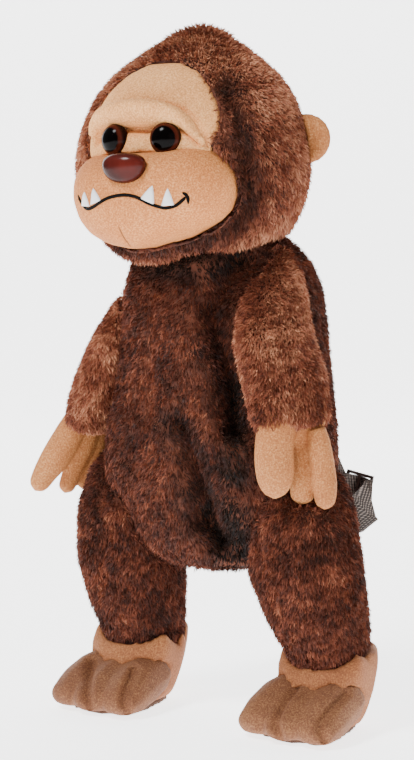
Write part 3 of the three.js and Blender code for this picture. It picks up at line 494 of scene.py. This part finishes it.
# Furry forms: backing cloth of the torso, head, arms and legs, drawn in so
# that the pile's tips lie on the form. The pile is rooted in it further down.
FUR_SINK, FUR_VOXEL, FUR_SMOOTH, LIMB_SWELL = 0.0026, 0.004, 3, 0.002
torso = stuffed(
    "torso", ["bag_shell"], fur_backing, voxel=1.1 * FUR_VOXEL, smooth=FUR_SMOOTH,
    levels=0, sink=FUR_SINK,
)
hood = stuffed(
    "hood", ["head"], fur_backing, voxel=FUR_VOXEL, smooth=FUR_SMOOTH,
    levels=0, sink=FUR_SINK,
)
limbs = {}
for side in ("left", "right"):
    for limb, name in (("arm_", "sleeve_"), ("leg_", "leg_fur_base_")):
        limbs[limb + side] = stuffed(
            name + side, [limb + side], fur_backing, voxel=FUR_VOXEL, smooth=FUR_SMOOTH,
            most=LIMB_SWELL, levels=0, sink=FUR_SINK,
        )

# Folds and seams of the fur, as lines of the photograph's pixels on the form
# they lie on. The torso's inner wall lies less than BOTH_WALLS behind them.
BOTH_WALLS = 0.035
ARM_GAP = [
    (243, 262), (228, 282), (218, 305), (219, 325), (223, 344), (228, 358), (233, 385), (237, 424),
]
LOW_FOLD = [(178, 425), (185, 442), (191, 464), (198, 485), (207, 503), (212, 527), (222, 545)]
HOLLOW = [(205, 520), (222, 535), (240, 552)]
LOW_GAP = [(235, 385), (236, 410), (236, 440), (233, 472)]
UNDER_FOLD = [(209, 503), (217, 527), (223, 553)]
UNDER_LEG = [(232, 507), (237, 530), (239, 562)]
FRONT_SEAM = [
    (158, 267), (157, 291), (153, 311), (151, 348), (151, 378), (150, 430), (158, 479), (171, 514),
]
FAR_HIP = [(118, 428), (117, 450), (117, 474)]
SLEEVE_SEAM = [
    (289, 266), (299, 292), (306, 312), (312, 332), (318, 349), (324, 374), (328, 402), (330, 420),
]
LEG_SEAMS = {
    "left": [(261, 512), (263, 545), (265, 573), (276, 608)],
    "right": [(104, 497), (108, 532), (105, 557), (102, 593)],
}
HOOD_FOLD = [(226, 88), (236, 120), (243, 150), (249, 180), (247, 203), (236, 221)]
UNDER_CHIN = [(98, 236), (118, 247), (140, 252), (165, 249), (192, 242), (222, 229)]
NECK = [(130, 259), (160, 263), (200, 263), (238, 255)]
# Folds sunk into the torso; along their lines the torso's pile is painted darker, as painted shade.
torso_shade_lines = [
    crease(torso, ARM_GAP, wide=0.011, deep=0.019, through=BOTH_WALLS),
    crease(torso, LOW_FOLD, wide=0.007, deep=0.014, through=BOTH_WALLS),
    crease(torso, HOLLOW, wide=0.014, deep=0.010, through=BOTH_WALLS),
]
# Lines under the hood, low beside the arm, under the fold and beside the near leg, where the pile
# is painted darker as painted shade.
torso_shade_lines += [seen_line(torso, pixels)[0] for pixels in (NECK, LOW_GAP, UNDER_FOLD, UNDER_LEG)]
# The front seam is sunk into the torso; along its line the pile is painted lighter, as painted
# highlight.
highlit_seams = [crease(torso, FRONT_SEAM, wide=0.0025, deep=0.003, through=BOTH_WALLS)]
crease(torso, FAR_HIP, wide=0.016, deep=-0.0045)
# The near sleeve's seam and the legs' seams are sunk in; along them the pile is painted lighter, as
# painted highlight.
sleeve_seam = crease(limbs["arm_left"], SLEEVE_SEAM, wide=0.002, deep=0.002)
leg_seams = {
    side: crease(limbs["leg_" + side], smooth_line(pixels, 12), wide=0.003, deep=0.003)
    for side, pixels in LEG_SEAMS.items()
}

# Forehead and eye area: one padded panel of tan plush, drawn in under the brow.
UNDER_BROW = [
    (97, 140), (104, 129), (114, 125.5), (128, 127), (145, 127.3), (162, 125.5), (178, 124.5),
    (188, 129), (198, 140),
]
OVER_BROW = [
    (92, 131), (101, 118.5), (114, 107.5), (133, 104.2), (147, 104), (164, 105), (181, 109.5),
    (194, 118.5), (203, 132), (207, 146),
]
face = stuffed("face", ["face_panel"], brow_plush, voxel=0.0024, smooth=4)
crease(face, UNDER_BROW, wide=0.0035, deep=0.0055)
crease(face, OVER_BROW, wide=0.002, deep=0.0025)

# Brow: a stuffed roll across the panel, thickest in the middle, with a deep
# crease under it and ends that curl down and thin out.
BROW = [
    # pixel across, pixel down, half its height in mm
    (93.5, 136.5, 2.2), (98.5, 127, 4.2), (109, 118.5, 6.2), (128, 115.3, 7.6), (144, 115, 7.8),
    (161, 114.8, 7.2), (176.5, 116.7, 6.2), (188, 123, 4.9), (197.5, 134.5, 3.6), (203.5, 146, 2.0),
]


def skin(name, rows):
    """A closed mesh through rows of the same number of points, capped at both ends."""
    count = len(rows[0])
    points = [tuple(point) for row in rows for point in row]
    faces = []
    for first in range(0, (len(rows) - 1) * count, count):
        for i in range(count):
            j = (i + 1) % count
            faces.append((first + i, first + j, first + count + j, first + count + i))
    faces.append(tuple(range(count - 1, -1, -1)))
    faces.append(tuple(range(len(points) - count, len(points))))
    mesh = bpy.data.meshes.new(name)
    mesh.from_pydata(points, [], faces)
    mesh.polygons.foreach_set("use_smooth", [True] * len(faces))
    piece = bpy.data.objects.new(name, mesh)
    bpy.context.scene.collection.objects.link(piece)
    face_outwards(piece)
    return piece


def face_outwards(piece):
    """Turns all of a piece's faces outwards."""
    deselect()
    piece.select_set(True)
    bpy.context.view_layer.objects.active = piece
    bpy.ops.object.mode_set(mode="EDIT")
    bpy.ops.mesh.select_all(action="SELECT")
    bpy.ops.mesh.normals_make_consistent(inside=False)
    bpy.ops.object.mode_set(mode="OBJECT")


def finished(piece, finish):
    """Gives a piece its material and body."""
    piece.data.materials.clear()
    piece.data.materials.append(finish)
    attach(piece, "root")
    return piece


def rings(name, rows, finish):
    """A finished piece through rows of points."""
    return finished(skin(name, rows), finish)


BROW_ROWS, BROW_POINTS = 70, 28
line, facing = seen_line(face, [row[:2] for row in BROW])
line, facing = smooth_line(line, BROW_ROWS), smooth_line(facing, BROW_ROWS)
halves = smooth_line([(row[2] / 1000, 0, 0) for row in BROW], BROW_ROWS)[:, 0]
along = np.gradient(line, axis=0)
brow_rows = []
for place, out, way, half in zip(line, facing, along, halves):
    out = out / np.linalg.norm(out)
    up = np.cross(way, out)
    up /= np.linalg.norm(up)
    row = []
    for turn in np.linspace(0, 2 * math.pi, BROW_POINTS, endpoint=False):
        lift, swell = math.cos(turn), math.sin(turn)
        lift = math.copysign(abs(lift) ** 0.85, lift)
        row.append(place + up * half * lift + out * half * (0.3 + 1.15 * swell - 0.35 * lift))
    brow_rows.append(row)
brow = rings("brow_roll", brow_rows, brow_plush)
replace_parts(brow, "brow")

# Muzzle: a broad stuffed pad, fuller at its upper corners than below, with a
# short seam at the chin and small puckers where it is sewn to the hood.
HEAD_TURN = math.radians(6)
HEAD_PLACE = (-7.198, -12.49)
MUZZLE_HALF, MUZZLE_BASE, MUZZLE_HIGH = 59.0, 317.8, 63.0
NEAR_RISE, FAR_RISE, CHIN_RISE, PUCKER = 0.0065, 0.0045, 0.004, 0.0012
PUCKER_BAND, HOOD_BAND, HOOD_LOW, HOOD_HIGH = (-58, -48), (22, 42), (296, 314), (372, 392)


def head_place(x, y, z):
    """A place in metres from the head's own millimetres."""
    return Vector((
        (x * math.cos(HEAD_TURN) - y * math.sin(HEAD_TURN) + HEAD_PLACE[0]) / 1000,
        (x * math.sin(HEAD_TURN) + y * math.cos(HEAD_TURN) + HEAD_PLACE[1]) / 1000,
        z / 1000,
    ))


def eased(values, low, high):
    """A smooth step from 0 at low to 1 at high."""
    share = np.clip((values - low) / (high - low), 0, 1)
    return share * share * (3 - 2 * share)


def mottled(places, scale, seed):
    """Smooth noise from 0 to 1 at each place."""
    shift = Vector((seed * 7.3, seed * 3.1, seed * 5.7))
    values = [noise.noise(Vector(place) * scale + shift) for place in places]
    return np.clip(np.array(values) * 0.8 + 0.5, 0, 1)


def raise_corners(piece, share_of):
    """Lifts the muzzle's side corners, and its lower edge beside the chin, and
    puckers that edge. It does so to the hood too, where the muzzle joins it."""
    places = corners(piece)
    local = (places[:, :2] * 1000 - HEAD_PLACE) @ np.array([
        [math.cos(HEAD_TURN), -math.sin(HEAD_TURN)], [math.sin(HEAD_TURN), math.cos(HEAD_TURN)],
    ])
    across = local[:, 0] / MUZZLE_HALF
    level = np.clip((places[:, 2] * 1000 - MUZZLE_BASE) / MUZZLE_HIGH, 0, 1)
    rise = NEAR_RISE * eased(across, 0.05, 0.85) + FAR_RISE * eased(-across, 0.3, 0.9) * level
    beside_chin = eased(across, -0.15, 0.3) * eased(-across, -0.95, -0.5)
    rise += CHIN_RISE * beside_chin * (1 - level)
    rise += (
        PUCKER * (mottled(places, 110, 5) - 0.5) * eased(local[:, 1], *PUCKER_BAND) * (1 - level)
    )
    places[:, 2] += rise * share_of(local, places[:, 2] * 1000)
    put_corners(piece, places)


muzzle = stuffed("muzzle_pad", ["muzzle"], face_plush, voxel=0.0029, smooth=4, most=0.001)
raise_corners(muzzle, lambda local, height: 1.0)
raise_corners(hood, lambda local, height: (
    eased(-local[:, 1], *HOOD_BAND) * eased(height, *HOOD_LOW) * (1 - eased(height, *HOOD_HIGH))
))
# The hood's fold is sunk into it; along its line and under the chin the hood's pile is painted
# darker, as painted shade.
hood_shade_lines = [
    crease(hood, smooth_line(HOOD_FOLD, 16), wide=0.004, deep=0.003),
    seen_line(hood, UNDER_CHIN)[0],
]
CHIN_SEAM = [(118.7, 226), (120.5, 231), (123.5, 237), (127, 242), (130.5, 246.5)]
crease(muzzle, smooth_line(CHIN_SEAM, 8), wide=0.002, deep=0.0012)

# Nose: one polished moulding, broad above and narrower below, a little flat.
NOSE_MIDDLE, NOSE_HALF = (0.0, -84.4, 368.6), (15.0, 8.6, 9.8)
NOSE_SQUARE = 2.3
DOME_POINTS = 40
nose_rows = []
for lift in np.linspace(-0.995, 0.995, 25):
    round_off = (1 - abs(lift) ** NOSE_SQUARE) ** (1 / NOSE_SQUARE)
    row = []
    for turn in np.linspace(0, 2 * math.pi, DOME_POINTS, endpoint=False):
        x = math.copysign(abs(math.cos(turn)) ** 0.9, math.cos(turn)) * (1 + 0.13 * lift)
        y = math.copysign(abs(math.sin(turn)) ** 0.9, math.sin(turn)) * (1 + 0.1 * lift)
        row.append(head_place(
            NOSE_MIDDLE[0] + x * round_off * NOSE_HALF[0],
            NOSE_MIDDLE[1] + y * round_off * NOSE_HALF[1],
            NOSE_MIDDLE[2] + lift * NOSE_HALF[2],
        ))
    nose_rows.append(row)
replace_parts(rings("nose_button", nose_rows, nose_plastic), "nose")

# Eyes: a domed plastic cap each, which turns in behind its widest part and
# sits in the plush there.
EYE_RADIUS, EYE_DOME, EYE_TURN = 10.4, 7.6, math.radians(14)
EYE_MIDDLE = (19, -65.3, 387.4)
EYE_WRAP = 118
for side, sign in (("right", -1), ("left", 1)):
    middle = head_place(sign * EYE_MIDDLE[0], *EYE_MIDDLE[1:])
    turn = HEAD_TURN + sign * EYE_TURN
    ahead = Vector((math.sin(turn), -math.cos(turn), 0))
    over = Vector((0, 0, 1))
    beside = over.cross(ahead)
    eye_rows, shares = [], []
    for step in np.linspace(0.02, 1.0, 22):
        angle = step * math.radians(EYE_WRAP)
        row = []
        for way in np.linspace(0, 2 * math.pi, DOME_POINTS, endpoint=False):
            radius = math.sin(angle) * EYE_RADIUS / 1000
            row.append(middle + ahead * math.cos(angle) * EYE_DOME / 1000
                       + beside * math.cos(way) * radius + over * math.sin(way) * radius)
            shares.append(min(1.0, step * EYE_WRAP / 90))
        eye_rows.append(row)
    eye = rings("eye_cap_" + side, eye_rows, eye_plastic)
    layer = eye.data.attributes.new("ring", "FLOAT", "POINT")
    layer.data.foreach_set("value", np.sin(np.array(shares) * math.pi / 2))
    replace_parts(eye, "eye_" + side)

# Mouth: one run of black satin stitching with a short tick at its near end.
THREAD_HALF, SEAM_HALF = 0.0011, 0.00032
MOUTH = [
    (78, 195), (81.7, 203), (86.8, 208.6), (93, 207), (102, 201), (111, 197), (123.8, 195),
    (134, 196.5), (141.6, 199.7), (149, 203.5), (159.5, 207), (166, 208), (174.8, 206),
    (181, 201.6), (186, 196.5),
]
TICK = [(182.2, 192.7), (185.5, 194.4), (187.8, 198), (188.2, 204)]


def stitched(name, line, facing, radius, finish, slot):
    """Raised thread along a line of places and normals; its ends thin out."""
    rows = []
    along = np.gradient(line, axis=0)
    for index, (place, out, way) in enumerate(zip(line, facing, along)):
        out = out / np.linalg.norm(out)
        side = np.cross(way, out)
        side /= np.linalg.norm(side)
        near_end = min(index, len(line) - 1 - index) / 3
        half = radius * min(1.0, 0.35 + 0.65 * near_end)
        rows.append([place + side * half * math.cos(turn) + out * half * 0.8 * math.sin(turn)
                     for turn in np.linspace(0, 2 * math.pi, 10, endpoint=False)])
    return rings(name, rows, finish)


mouth_run = seen_line(muzzle, smooth_line(MOUTH, 90))
tick_run = seen_line(muzzle, smooth_line(TICK, 14))
mouth = stitched("mouth_stitching", *mouth_run, THREAD_HALF, black_thread, "stitching")
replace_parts(mouth, "mouth_line")
stitched("mouth_tick", *tick_run, THREAD_HALF, black_thread, "stitching")

# Chin seam: a fine run of thread in its crease.
chin_run = seen_line(muzzle, smooth_line(CHIN_SEAM, 16))
stitched("chin_seam", *chin_run, SEAM_HALF, seam_thread, "face")

# Fangs: four padded patches of white satin stitching that stand on the mouth.
FANGS = {
    # base from, base to, tip
    "fang_1": ((81.8, 205.5), (89.8, 206.5), (84.6, 192.0)),
    "fang_2": ((90.6, 205.0), (101.0, 200.6), (93.4, 188.6)),
    "fang_3": ((140.6, 198.2), (154.2, 204.4), (152.4, 185.8)),
    "fang_4": ((161.2, 205.8), (174.2, 204.8), (167.6, 188.6)),
}
FANG_UNDER, FANG_EDGE, FANG_SWELL = 0.0006, 0.0003, 0.0011
search = tree_of(muzzle)
for name, (base_from, base_to, tip) in FANGS.items():
    base_from, base_to, tip = np.array(base_from), np.array(base_to), np.array(tip)
    fang_rows = []
    for lift in np.linspace(0, 1, 14):
        middle = base_from * (1 - lift) / 2 + base_to * (1 - lift) / 2 + tip * lift
        half = (base_to - base_from) / 2 * max(0.04, (1 - lift) ** 0.75)
        top, under = [], []
        for side in np.linspace(-1, 1, 9):
            place, facing = seen(search, middle + half * side)
            arch = math.sqrt(max(0.0, 1 - side * side)) * min(1.0, (1 - lift) * 3)
            top.append(np.array(place + facing * (FANG_EDGE + FANG_SWELL * arch)))
            under.append(np.array(place - facing * FANG_UNDER))
        fang_rows.append(top + under[::-1])
    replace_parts(rings(name + "_satin", fang_rows, white_thread), name)

# Ears, hands and feet: short plush over a soft filling, with deep grooves
# between the fingers and between the toes.
FINGERS = {
    # metres nearer the camera, how flat, then pixel across, pixel down, half width in pixels
    "left": [
        (0.008, 0.75, [
            (279, 412, 16), (276, 430, 18), (274, 452, 18.5), (275, 474, 18), (275, 499, 12),
        ]),
        (-0.006, 0.8, [
            (299, 412, 13), (303, 436, 12.5), (304, 458, 12), (304, 482, 13), (300, 505, 11),
        ]),
        (0.003, 0.8, [
            (316, 428, 9), (319, 444, 11), (322, 462, 11.5), (325, 486, 11.5), (325, 510, 9),
        ]),
        (-0.001, 0.3, [(295, 405, 27), (297, 418, 29), (300, 432, 29), (303, 444, 22)]),
    ],
    "right": [
        (0.004, 0.8, [(79, 416, 13), (68, 436, 15), (55, 458, 15), (45, 473, 12.5), (35, 491, 9)]),
        (-0.004, 0.85, [(92, 424, 11), (84, 446, 12), (74, 468, 10.5), (64, 493, 8)]),
        (-0.009, 0.85, [(99, 428, 9), (97, 454, 10.5), (89, 472, 10), (80, 488, 7)]),
        (-0.003, 0.45, [(93, 408, 19), (87, 422, 20), (82, 434, 16)]),
    ],
}
TOE_GROOVES = {
    "left": [
        [(294, 689), (281, 705), (274, 721), (277, 732), (279, 738)],
        [(346, 692), (332, 707), (321, 722), (323, 733), (325, 739)],
    ],
    "right": [
        [(91, 661), (89, 673), (86, 690), (87, 700), (88, 706)],
        [(134, 669), (130, 680), (124, 697), (127, 707), (128, 712)],
    ],
}


MITT_VOXEL = 0.0013


def mitt(side):
    """A stuffed hand of three fingers and a short palm, seen as photographed."""
    middle = Vector(corners(nodes["hand_" + side]).mean(axis=0))
    parts = []
    for nearer, flat, line in FINGERS[side]:
        track = smooth_line(line, 26)
        plane = middle + TOWARDS_CAMERA * nearer - camera.location
        centres = []
        for x, y, _ in track:
            ray = sight((x, y))
            reach = plane.dot(TOWARDS_CAMERA) / ray.dot(TOWARDS_CAMERA)
            centres.append(np.array(camera.location + ray * reach))
        centres = np.array(centres)
        halves = track[:, 2] * CAMERA_DISTANCE / FOCAL_PIXELS
        from_tip = np.linalg.norm(centres - centres[-1], axis=1)
        inset = 1 - np.clip(from_tip / halves, 0, 1)
        halves = halves * np.sqrt(np.clip(1 - inset ** 2, 0.01, 1))
        rows = []
        for centre, way, half in zip(centres, np.gradient(centres, axis=0), halves):
            side_way = np.cross(way, TOWARDS_CAMERA)
            side_way /= np.linalg.norm(side_way)
            rows.append([
                centre + side_way * half * math.cos(turn)
                + np.array(TOWARDS_CAMERA) * half * flat * math.sin(turn)
                for turn in np.linspace(0, 2 * math.pi, 20, endpoint=False)
            ])
        parts.append(skin("mitt_" + side, rows))
    deselect()
    for part in parts:
        part.select_set(True)
    bpy.context.view_layer.objects.active = parts[0]
    bpy.ops.object.join()
    made = bpy.context.view_layer.objects.active
    apply_modifier(made, "REMESH", mode="VOXEL", voxel_size=MITT_VOXEL)
    apply_modifier(made, "SMOOTH", iterations=2, factor=0.5)
    made.data.polygons.foreach_set("use_smooth", [True] * len(made.data.polygons))
    finished(made, skin_plush)
    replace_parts(made, "hand_" + side)


# Heels and toes are let out until they meet, and soles drawn in under them.
FOOT_SINK, SOLE_SHARE = -0.0008, 0.88
for side in ("left", "right"):
    mitt(side)
    stuffed(
        "ear_pad_" + side, ["ear_" + side], skin_plush,
        voxel=0.002, smooth=3, most=0.0005,
    )
    stuffed(
        "heel_" + side, ["foot_" + side], instep_plush,
        voxel=0.0028, smooth=3, most=0.0006, sink=FOOT_SINK,
    )
    toes = stuffed(
        "toes_" + side, ["toe_cap_" + side], toe_plush,
        voxel=0.0022, smooth=2, most=0.0012, sink=FOOT_SINK,
    )
    for pixels in TOE_GROOVES[side]:
        crease(toes, smooth_line(pixels, 14), wide=0.0034, deep=0.005)
    sole = stuffed(
        "sole_pad_" + side, ["sole_" + side], sole_cloth, voxel=0.0022, smooth=2,
    )
    places = corners(sole)
    middle = (places.min(axis=0) + places.max(axis=0)) / 2
    places[:, :2] = middle[:2] + (places[:, :2] - middle[:2]) * SOLE_SHARE
    put_corners(sole, places)

# Straps: flat woven webbing, smooth along its run and square at its edges,
# with a stitched box where its upper end is sewn down.


BEHIND_BACK = 0.3


def lozenge(middle, along, out, long, wide, high):
    """The six points of one stitch round its middle."""
    side = np.cross(along, out)
    return [middle + along * long, middle - along * long, middle + side * wide,
            middle - side * wide, middle + out * high, middle - out * high]


def stitches(name, host, lines, step, long, finish, wide=0.0003, high=0.0003):
    """Running stitches along lines on a surface, seen from behind the back."""
    search = tree_of(host)
    points, faces = [], []
    for start, end in lines:
        start, end = np.array(start), np.array(end)
        count = max(2, int(np.linalg.norm(end - start) / step))
        along = (end - start) / np.linalg.norm(end - start)
        for share in (np.arange(count) + 0.5) / count:
            x, z = start + (end - start) * share
            place, facing, _, _ = search.ray_cast(Vector((x, BEHIND_BACK, z)), Vector((0, -1, 0)))
            if place is None:
                continue
            first = len(points)
            out = np.array(facing)
            way = np.array([along[0], 0.0, along[1]])
            way -= out * (way @ out)
            way /= np.linalg.norm(way)
            points += [tuple(p) for p in lozenge(np.array(place), way, out, long / 2, wide, high)]
            for tip in (0, 1):
                for side in (2, 3):
                    for top in (4, 5):
                        faces.append((first + tip, first + side, first + top))
    mesh = bpy.data.meshes.new(name)
    mesh.from_pydata(points, [], faces)
    piece = bpy.data.objects.new(name, mesh)
    bpy.context.scene.collection.objects.link(piece)
    face_outwards(piece)
    return finished(piece, finish)


SHARP_EDGE, SMOOTH_EDGE = math.radians(50), math.radians(40)
END_LONG, BOX_IN, BOX_LOW, BOX_HIGH = 0.02, 0.004, 0.024, 0.006
STITCH_STEP, STITCH_LONG = 0.0034, 0.0026
for side in ("left", "right"):
    webbing = joined_copy("webbing_" + side, ["strap_" + side])
    bpy.ops.object.mode_set(mode="EDIT")
    bpy.ops.mesh.select_all(action="DESELECT")
    bpy.ops.mesh.edges_select_sharp(sharpness=SHARP_EDGE)
    bpy.ops.transform.edge_crease(value=1.0)
    bpy.ops.object.mode_set(mode="OBJECT")
    apply_modifier(webbing, "SUBSURF", levels=2, render_levels=2)
    deselect()
    webbing.select_set(True)
    bpy.context.view_layer.objects.active = webbing
    bpy.ops.object.shade_smooth_by_angle(angle=SMOOTH_EDGE)
    webbing.data.materials.clear()
    webbing.data.materials.append(nylon_webbing)
    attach(webbing, "root")
    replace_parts(webbing, "strap_" + side)
    places = corners(webbing)
    top = places[:, 2].max()
    end = places[places[:, 2] > top - END_LONG]
    low_x, high_x = end[:, 0].min() + BOX_IN, end[:, 0].max() - BOX_IN
    low_z, high_z = top - BOX_LOW, top - BOX_HIGH
    box = [(low_x, low_z), (high_x, low_z), (high_x, high_z), (low_x, high_z)]
    lines = [(box[i], box[(i + 1) % 4]) for i in range(4)] + [(box[0], box[2]), (box[1], box[3])]
    stitches(
        "box_stitch_" + side, webbing, lines, STITCH_STEP, STITCH_LONG, black_thread,
    )

# Zip: two rows of small teeth that mesh in the middle of the tape, and a row
# of stitches down each side of it.
zip_places = corners(nodes["bag_zip"])
zip_low, zip_high = zip_places[:, 2].min() + 0.001, zip_places[:, 2].max() - 0.004
TOOTH_OUT, TOOTH_STEP, TOOTH_LONG, TOOTH_WIDE, TOOTH_HIGH = 0.0009, 0.0018, 0.0012, 0.0013, 0.0008
SEAM_OUT = 0.0052
for sign, name in ((-1, "zip_teeth_right"), (1, "zip_teeth_left")):
    x, shift = sign * TOOTH_OUT, (sign + 1) * TOOTH_STEP / 4
    teeth = [((x, zip_low + shift), (x, zip_high + shift))]
    stitches(
        name, nodes["bag_zip"], teeth, TOOTH_STEP, TOOTH_LONG, acetal,
        wide=TOOTH_WIDE, high=TOOTH_HIGH,
    )
    x = sign * SEAM_OUT
    stitches(
        name.replace("teeth", "stitch"), nodes["bag_zip"], [((x, zip_low), (x, zip_high))],
        STITCH_STEP, STITCH_LONG, black_thread,
    )

# Plain nodes that keep their own mesh get their finishes.
KEPT = {
    "bag_zip": zip_tape, "zip_slider": acetal, "zip_pull": acetal,
    "adjuster_left": acetal, "adjuster_right": acetal,
}
for name, finish in KEPT.items():
    nodes[name].data.materials.clear()
    nodes[name].data.materials.append(finish)

# Pile: tufts of two triangles each, thin at the root and pointed at the tip,
# combed downwards and bent, with light and dark patches 5 to 25 mm wide.
# Along folds and under other parts the pile is painted darker, as painted shade; along seams it is
# painted lighter, as painted highlight.
PILE_TONES = [linear(text)[:3] for text in ("#1a0806", "#522417", "#8b4a33", "#cd906c")]
LEAN, STRAY, CURL = 0.75, 0.3, 0.14
TUFT_HALF_LEAST, TUFT_HALF_SPREAD, TUFT_ROOTED = 0.0003, 0.00024, 0.0008
# How wide the painted shade along folds and the painted highlight along seams spread.
PAINTED_SHADE_HALF, PAINTED_HIGHLIGHT_HALF = 0.01, 0.004


def pile(
    name, base, count, length, pads, seed, shade,
    painted_shade_lines=(), light=(), hollow=False, above=-1.0, gloom=0.35,
):
    """Fur rooted all over a backing, clear of the pads that cover it. The shade
    is how light it is, from 0 to 1. Along some lines, in folds and under other
    parts, it is painted darker as painted shade, by gloom at the most, and along
    others, on seams, painted lighter as painted highlight. A hollow backing has
    none inside, and there is none below a height."""
    rng = np.random.RandomState(seed)
    mesh = base.data
    mesh.calc_loop_triangles()
    corner = corners(base)
    index = np.empty(len(mesh.loop_triangles) * 3, int)
    mesh.loop_triangles.foreach_get("vertices", index)
    triangle = corner[index.reshape(-1, 3)]
    across = np.cross(triangle[:, 1] - triangle[:, 0], triangle[:, 2] - triangle[:, 0])
    area = np.linalg.norm(across, axis=1)
    lowest, highest = corner.min(axis=0), corner.max(axis=0)
    heart = np.tile((lowest + highest) / 2, (len(area), 1))
    reach = (highest[2] - lowest[2]) * 0.3
    heart[:, 2] = np.clip(triangle[:, 0, 2], heart[0, 2] - reach, heart[0, 2] + reach)
    outside = (across * (triangle.mean(axis=1) - heart)).sum(axis=1)
    far = np.linalg.norm(triangle.mean(axis=1) - heart, axis=1)
    weight = np.where(hollow & (outside < -0.3 * area * far), 0.0, area)
    weight = np.where(triangle[:, 0, 2] < above, 0.0, weight)
    pick = rng.choice(len(area), count, p=weight / weight.sum())
    u, v = rng.rand(2, count)
    flip = u + v > 1
    u[flip], v[flip] = 1 - u[flip], 1 - v[flip]
    root = (triangle[pick, 0] + u[:, None] * (triangle[pick, 1] - triangle[pick, 0])
            + v[:, None] * (triangle[pick, 2] - triangle[pick, 0]))
    normal = across[pick] / np.maximum(area[pick, None], 1e-12)
    down = np.array([0.0, 0.0, -1.0])
    fall = down - normal * (normal @ down)[:, None]
    side = np.cross(normal, fall)
    clump = mottled(root, 70, seed) - 0.5
    stray = rng.randn(count, 3) * STRAY
    way = normal * (1 - LEAN * 0.55) + fall * LEAN + side * clump[:, None] * 0.9 + stray
    way /= np.linalg.norm(way, axis=1, keepdims=True)
    long = length * (0.7 + 0.6 * rng.rand(count))[:, None]
    tip = root + way * long + fall * long * 0.15
    middle = root + way * long * 0.5 + normal * long * CURL
    kept = np.ones(count, bool)
    for other in pads:
        search = tree_of(other)
        for i in np.nonzero(kept)[0]:
            for place in (root[i], tip[i]):
                near, facing, _, _ = search.find_nearest(Vector(place), 0.02)
                if near is not None and (Vector(place) - near).dot(facing) < 0.0002:
                    kept[i] = False
                    break
    root, tip, middle, way, normal = root[kept], tip[kept], middle[kept], way[kept], normal[kept]
    total = len(root)
    turn = rng.randn(total, 3)
    wide = np.cross(way, turn)
    wide /= np.linalg.norm(wide, axis=1, keepdims=True)
    wide *= (TUFT_HALF_LEAST + TUFT_HALF_SPREAD * rng.rand(total))[:, None]
    places = np.stack([root - normal * TUFT_ROOTED, middle - wide, middle + wide, tip], axis=1)
    made = bpy.data.meshes.new(name)
    faces = (np.arange(total) * 4)[:, None, None] + np.array([[0, 2, 1], [1, 2, 3]])
    made.from_pydata(places.reshape(-1, 3).tolist(), [], faces.reshape(-1, 3).tolist())
    tone = 0.4 * mottled(root, 40, seed + 1) + 0.6 * mottled(root, 210, seed + 2)
    tone = (tone - 0.5) * 0.75 + shade + rng.randn(total) * 0.09
    painted_shade = np.zeros(total)
    # Painted shade: the pile's tone drops near the lines of folds and of places under other parts.
    for line in painted_shade_lines:
        painted_shade = np.maximum(painted_shade, np.exp(-(apart_from(root, line) / PAINTED_SHADE_HALF) ** 2))
    tone -= 0.5 * painted_shade
    # Painted highlight: the pile's tone rises near the lines of seams.
    for line in light:
        tone += 0.22 * np.exp(-(apart_from(root, line) / PAINTED_HIGHLIGHT_HALF) ** 2)
    tone = np.clip(tone, 0, 1)
    root_to_tip = np.array([-0.16, 0.02, 0.02, 0.12])
    steps = np.clip(tone[:, None] + root_to_tip[None, :], 0, 1).ravel() * (len(PILE_TONES) - 1)
    low = np.minimum(steps.astype(int), len(PILE_TONES) - 2)
    part = (steps - low)[:, None]
    tones = np.array(PILE_TONES)
    colour = np.ones((total * 4, 4))
    colour[:, :3] = tones[low] * (1 - part) + tones[low + 1] * part
    # Painted shade: along those fold lines the colour is also darkened by gloom at the most.
    colour[:, :3] *= np.repeat(1 - gloom * painted_shade, 4)[:, None]
    layer = made.color_attributes.new("tuft_colour", "FLOAT_COLOR", "POINT")
    layer.data.foreach_set("color", colour.ravel())
    made.polygons.foreach_set("use_smooth", [True] * len(made.polygons))
    made.materials.append(fur_pile)
    piece = bpy.data.objects.new(name, made)
    bpy.context.scene.collection.objects.link(piece)
    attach(piece, "root")
    return piece


share = 1.0
BODY_LENGTH, HOOD_LENGTH, CREST_LENGTH, CREST_LOW = 0.0042, 0.0046, 0.0062, 0.456
# The torso's pile is painted darker along its folds and under the hood, arm and legs, as painted
# shade, and lighter along its front seam, as painted highlight.
pile(
    "torso_pile", torso, int(88000 * share), BODY_LENGTH, [], seed=1, shade=0.31,
    painted_shade_lines=torso_shade_lines, light=highlit_seams, hollow=True, gloom=0.9,
)
# The hood's pile is painted darker along its fold and under the chin, as painted shade.
pile(
    "hood_pile", hood, int(86000 * share), HOOD_LENGTH, [face, muzzle], seed=2, shade=0.72,
    painted_shade_lines=hood_shade_lines,
)
pile(
    "crest_pile", hood, int(1800 * share), CREST_LENGTH, [face], seed=9, shade=0.68,
    above=CREST_LOW,
)
# The far leg's pile is a little darker than the near one's, as painted shade.
for side, seed, leg_shade in (("left", 3, 0.31), ("right", 4, 0.27)):
    # Along the near sleeve's seam the pile is painted lighter, as painted highlight.
    pile(
        "sleeve_pile_" + side, limbs["arm_" + side], int(40000 * share), BODY_LENGTH, [],
        seed=seed, shade=0.6, light=[sleeve_seam] if side == "left" else [],
    )
    # Along each leg's seam the pile is painted lighter, as painted highlight.
    pile(
        "leg_pile_" + side, limbs["leg_" + side], int(45000 * share), BODY_LENGTH, [],
        seed=seed + 2, shade=leg_shade, light=[leg_seams[side]],
    )
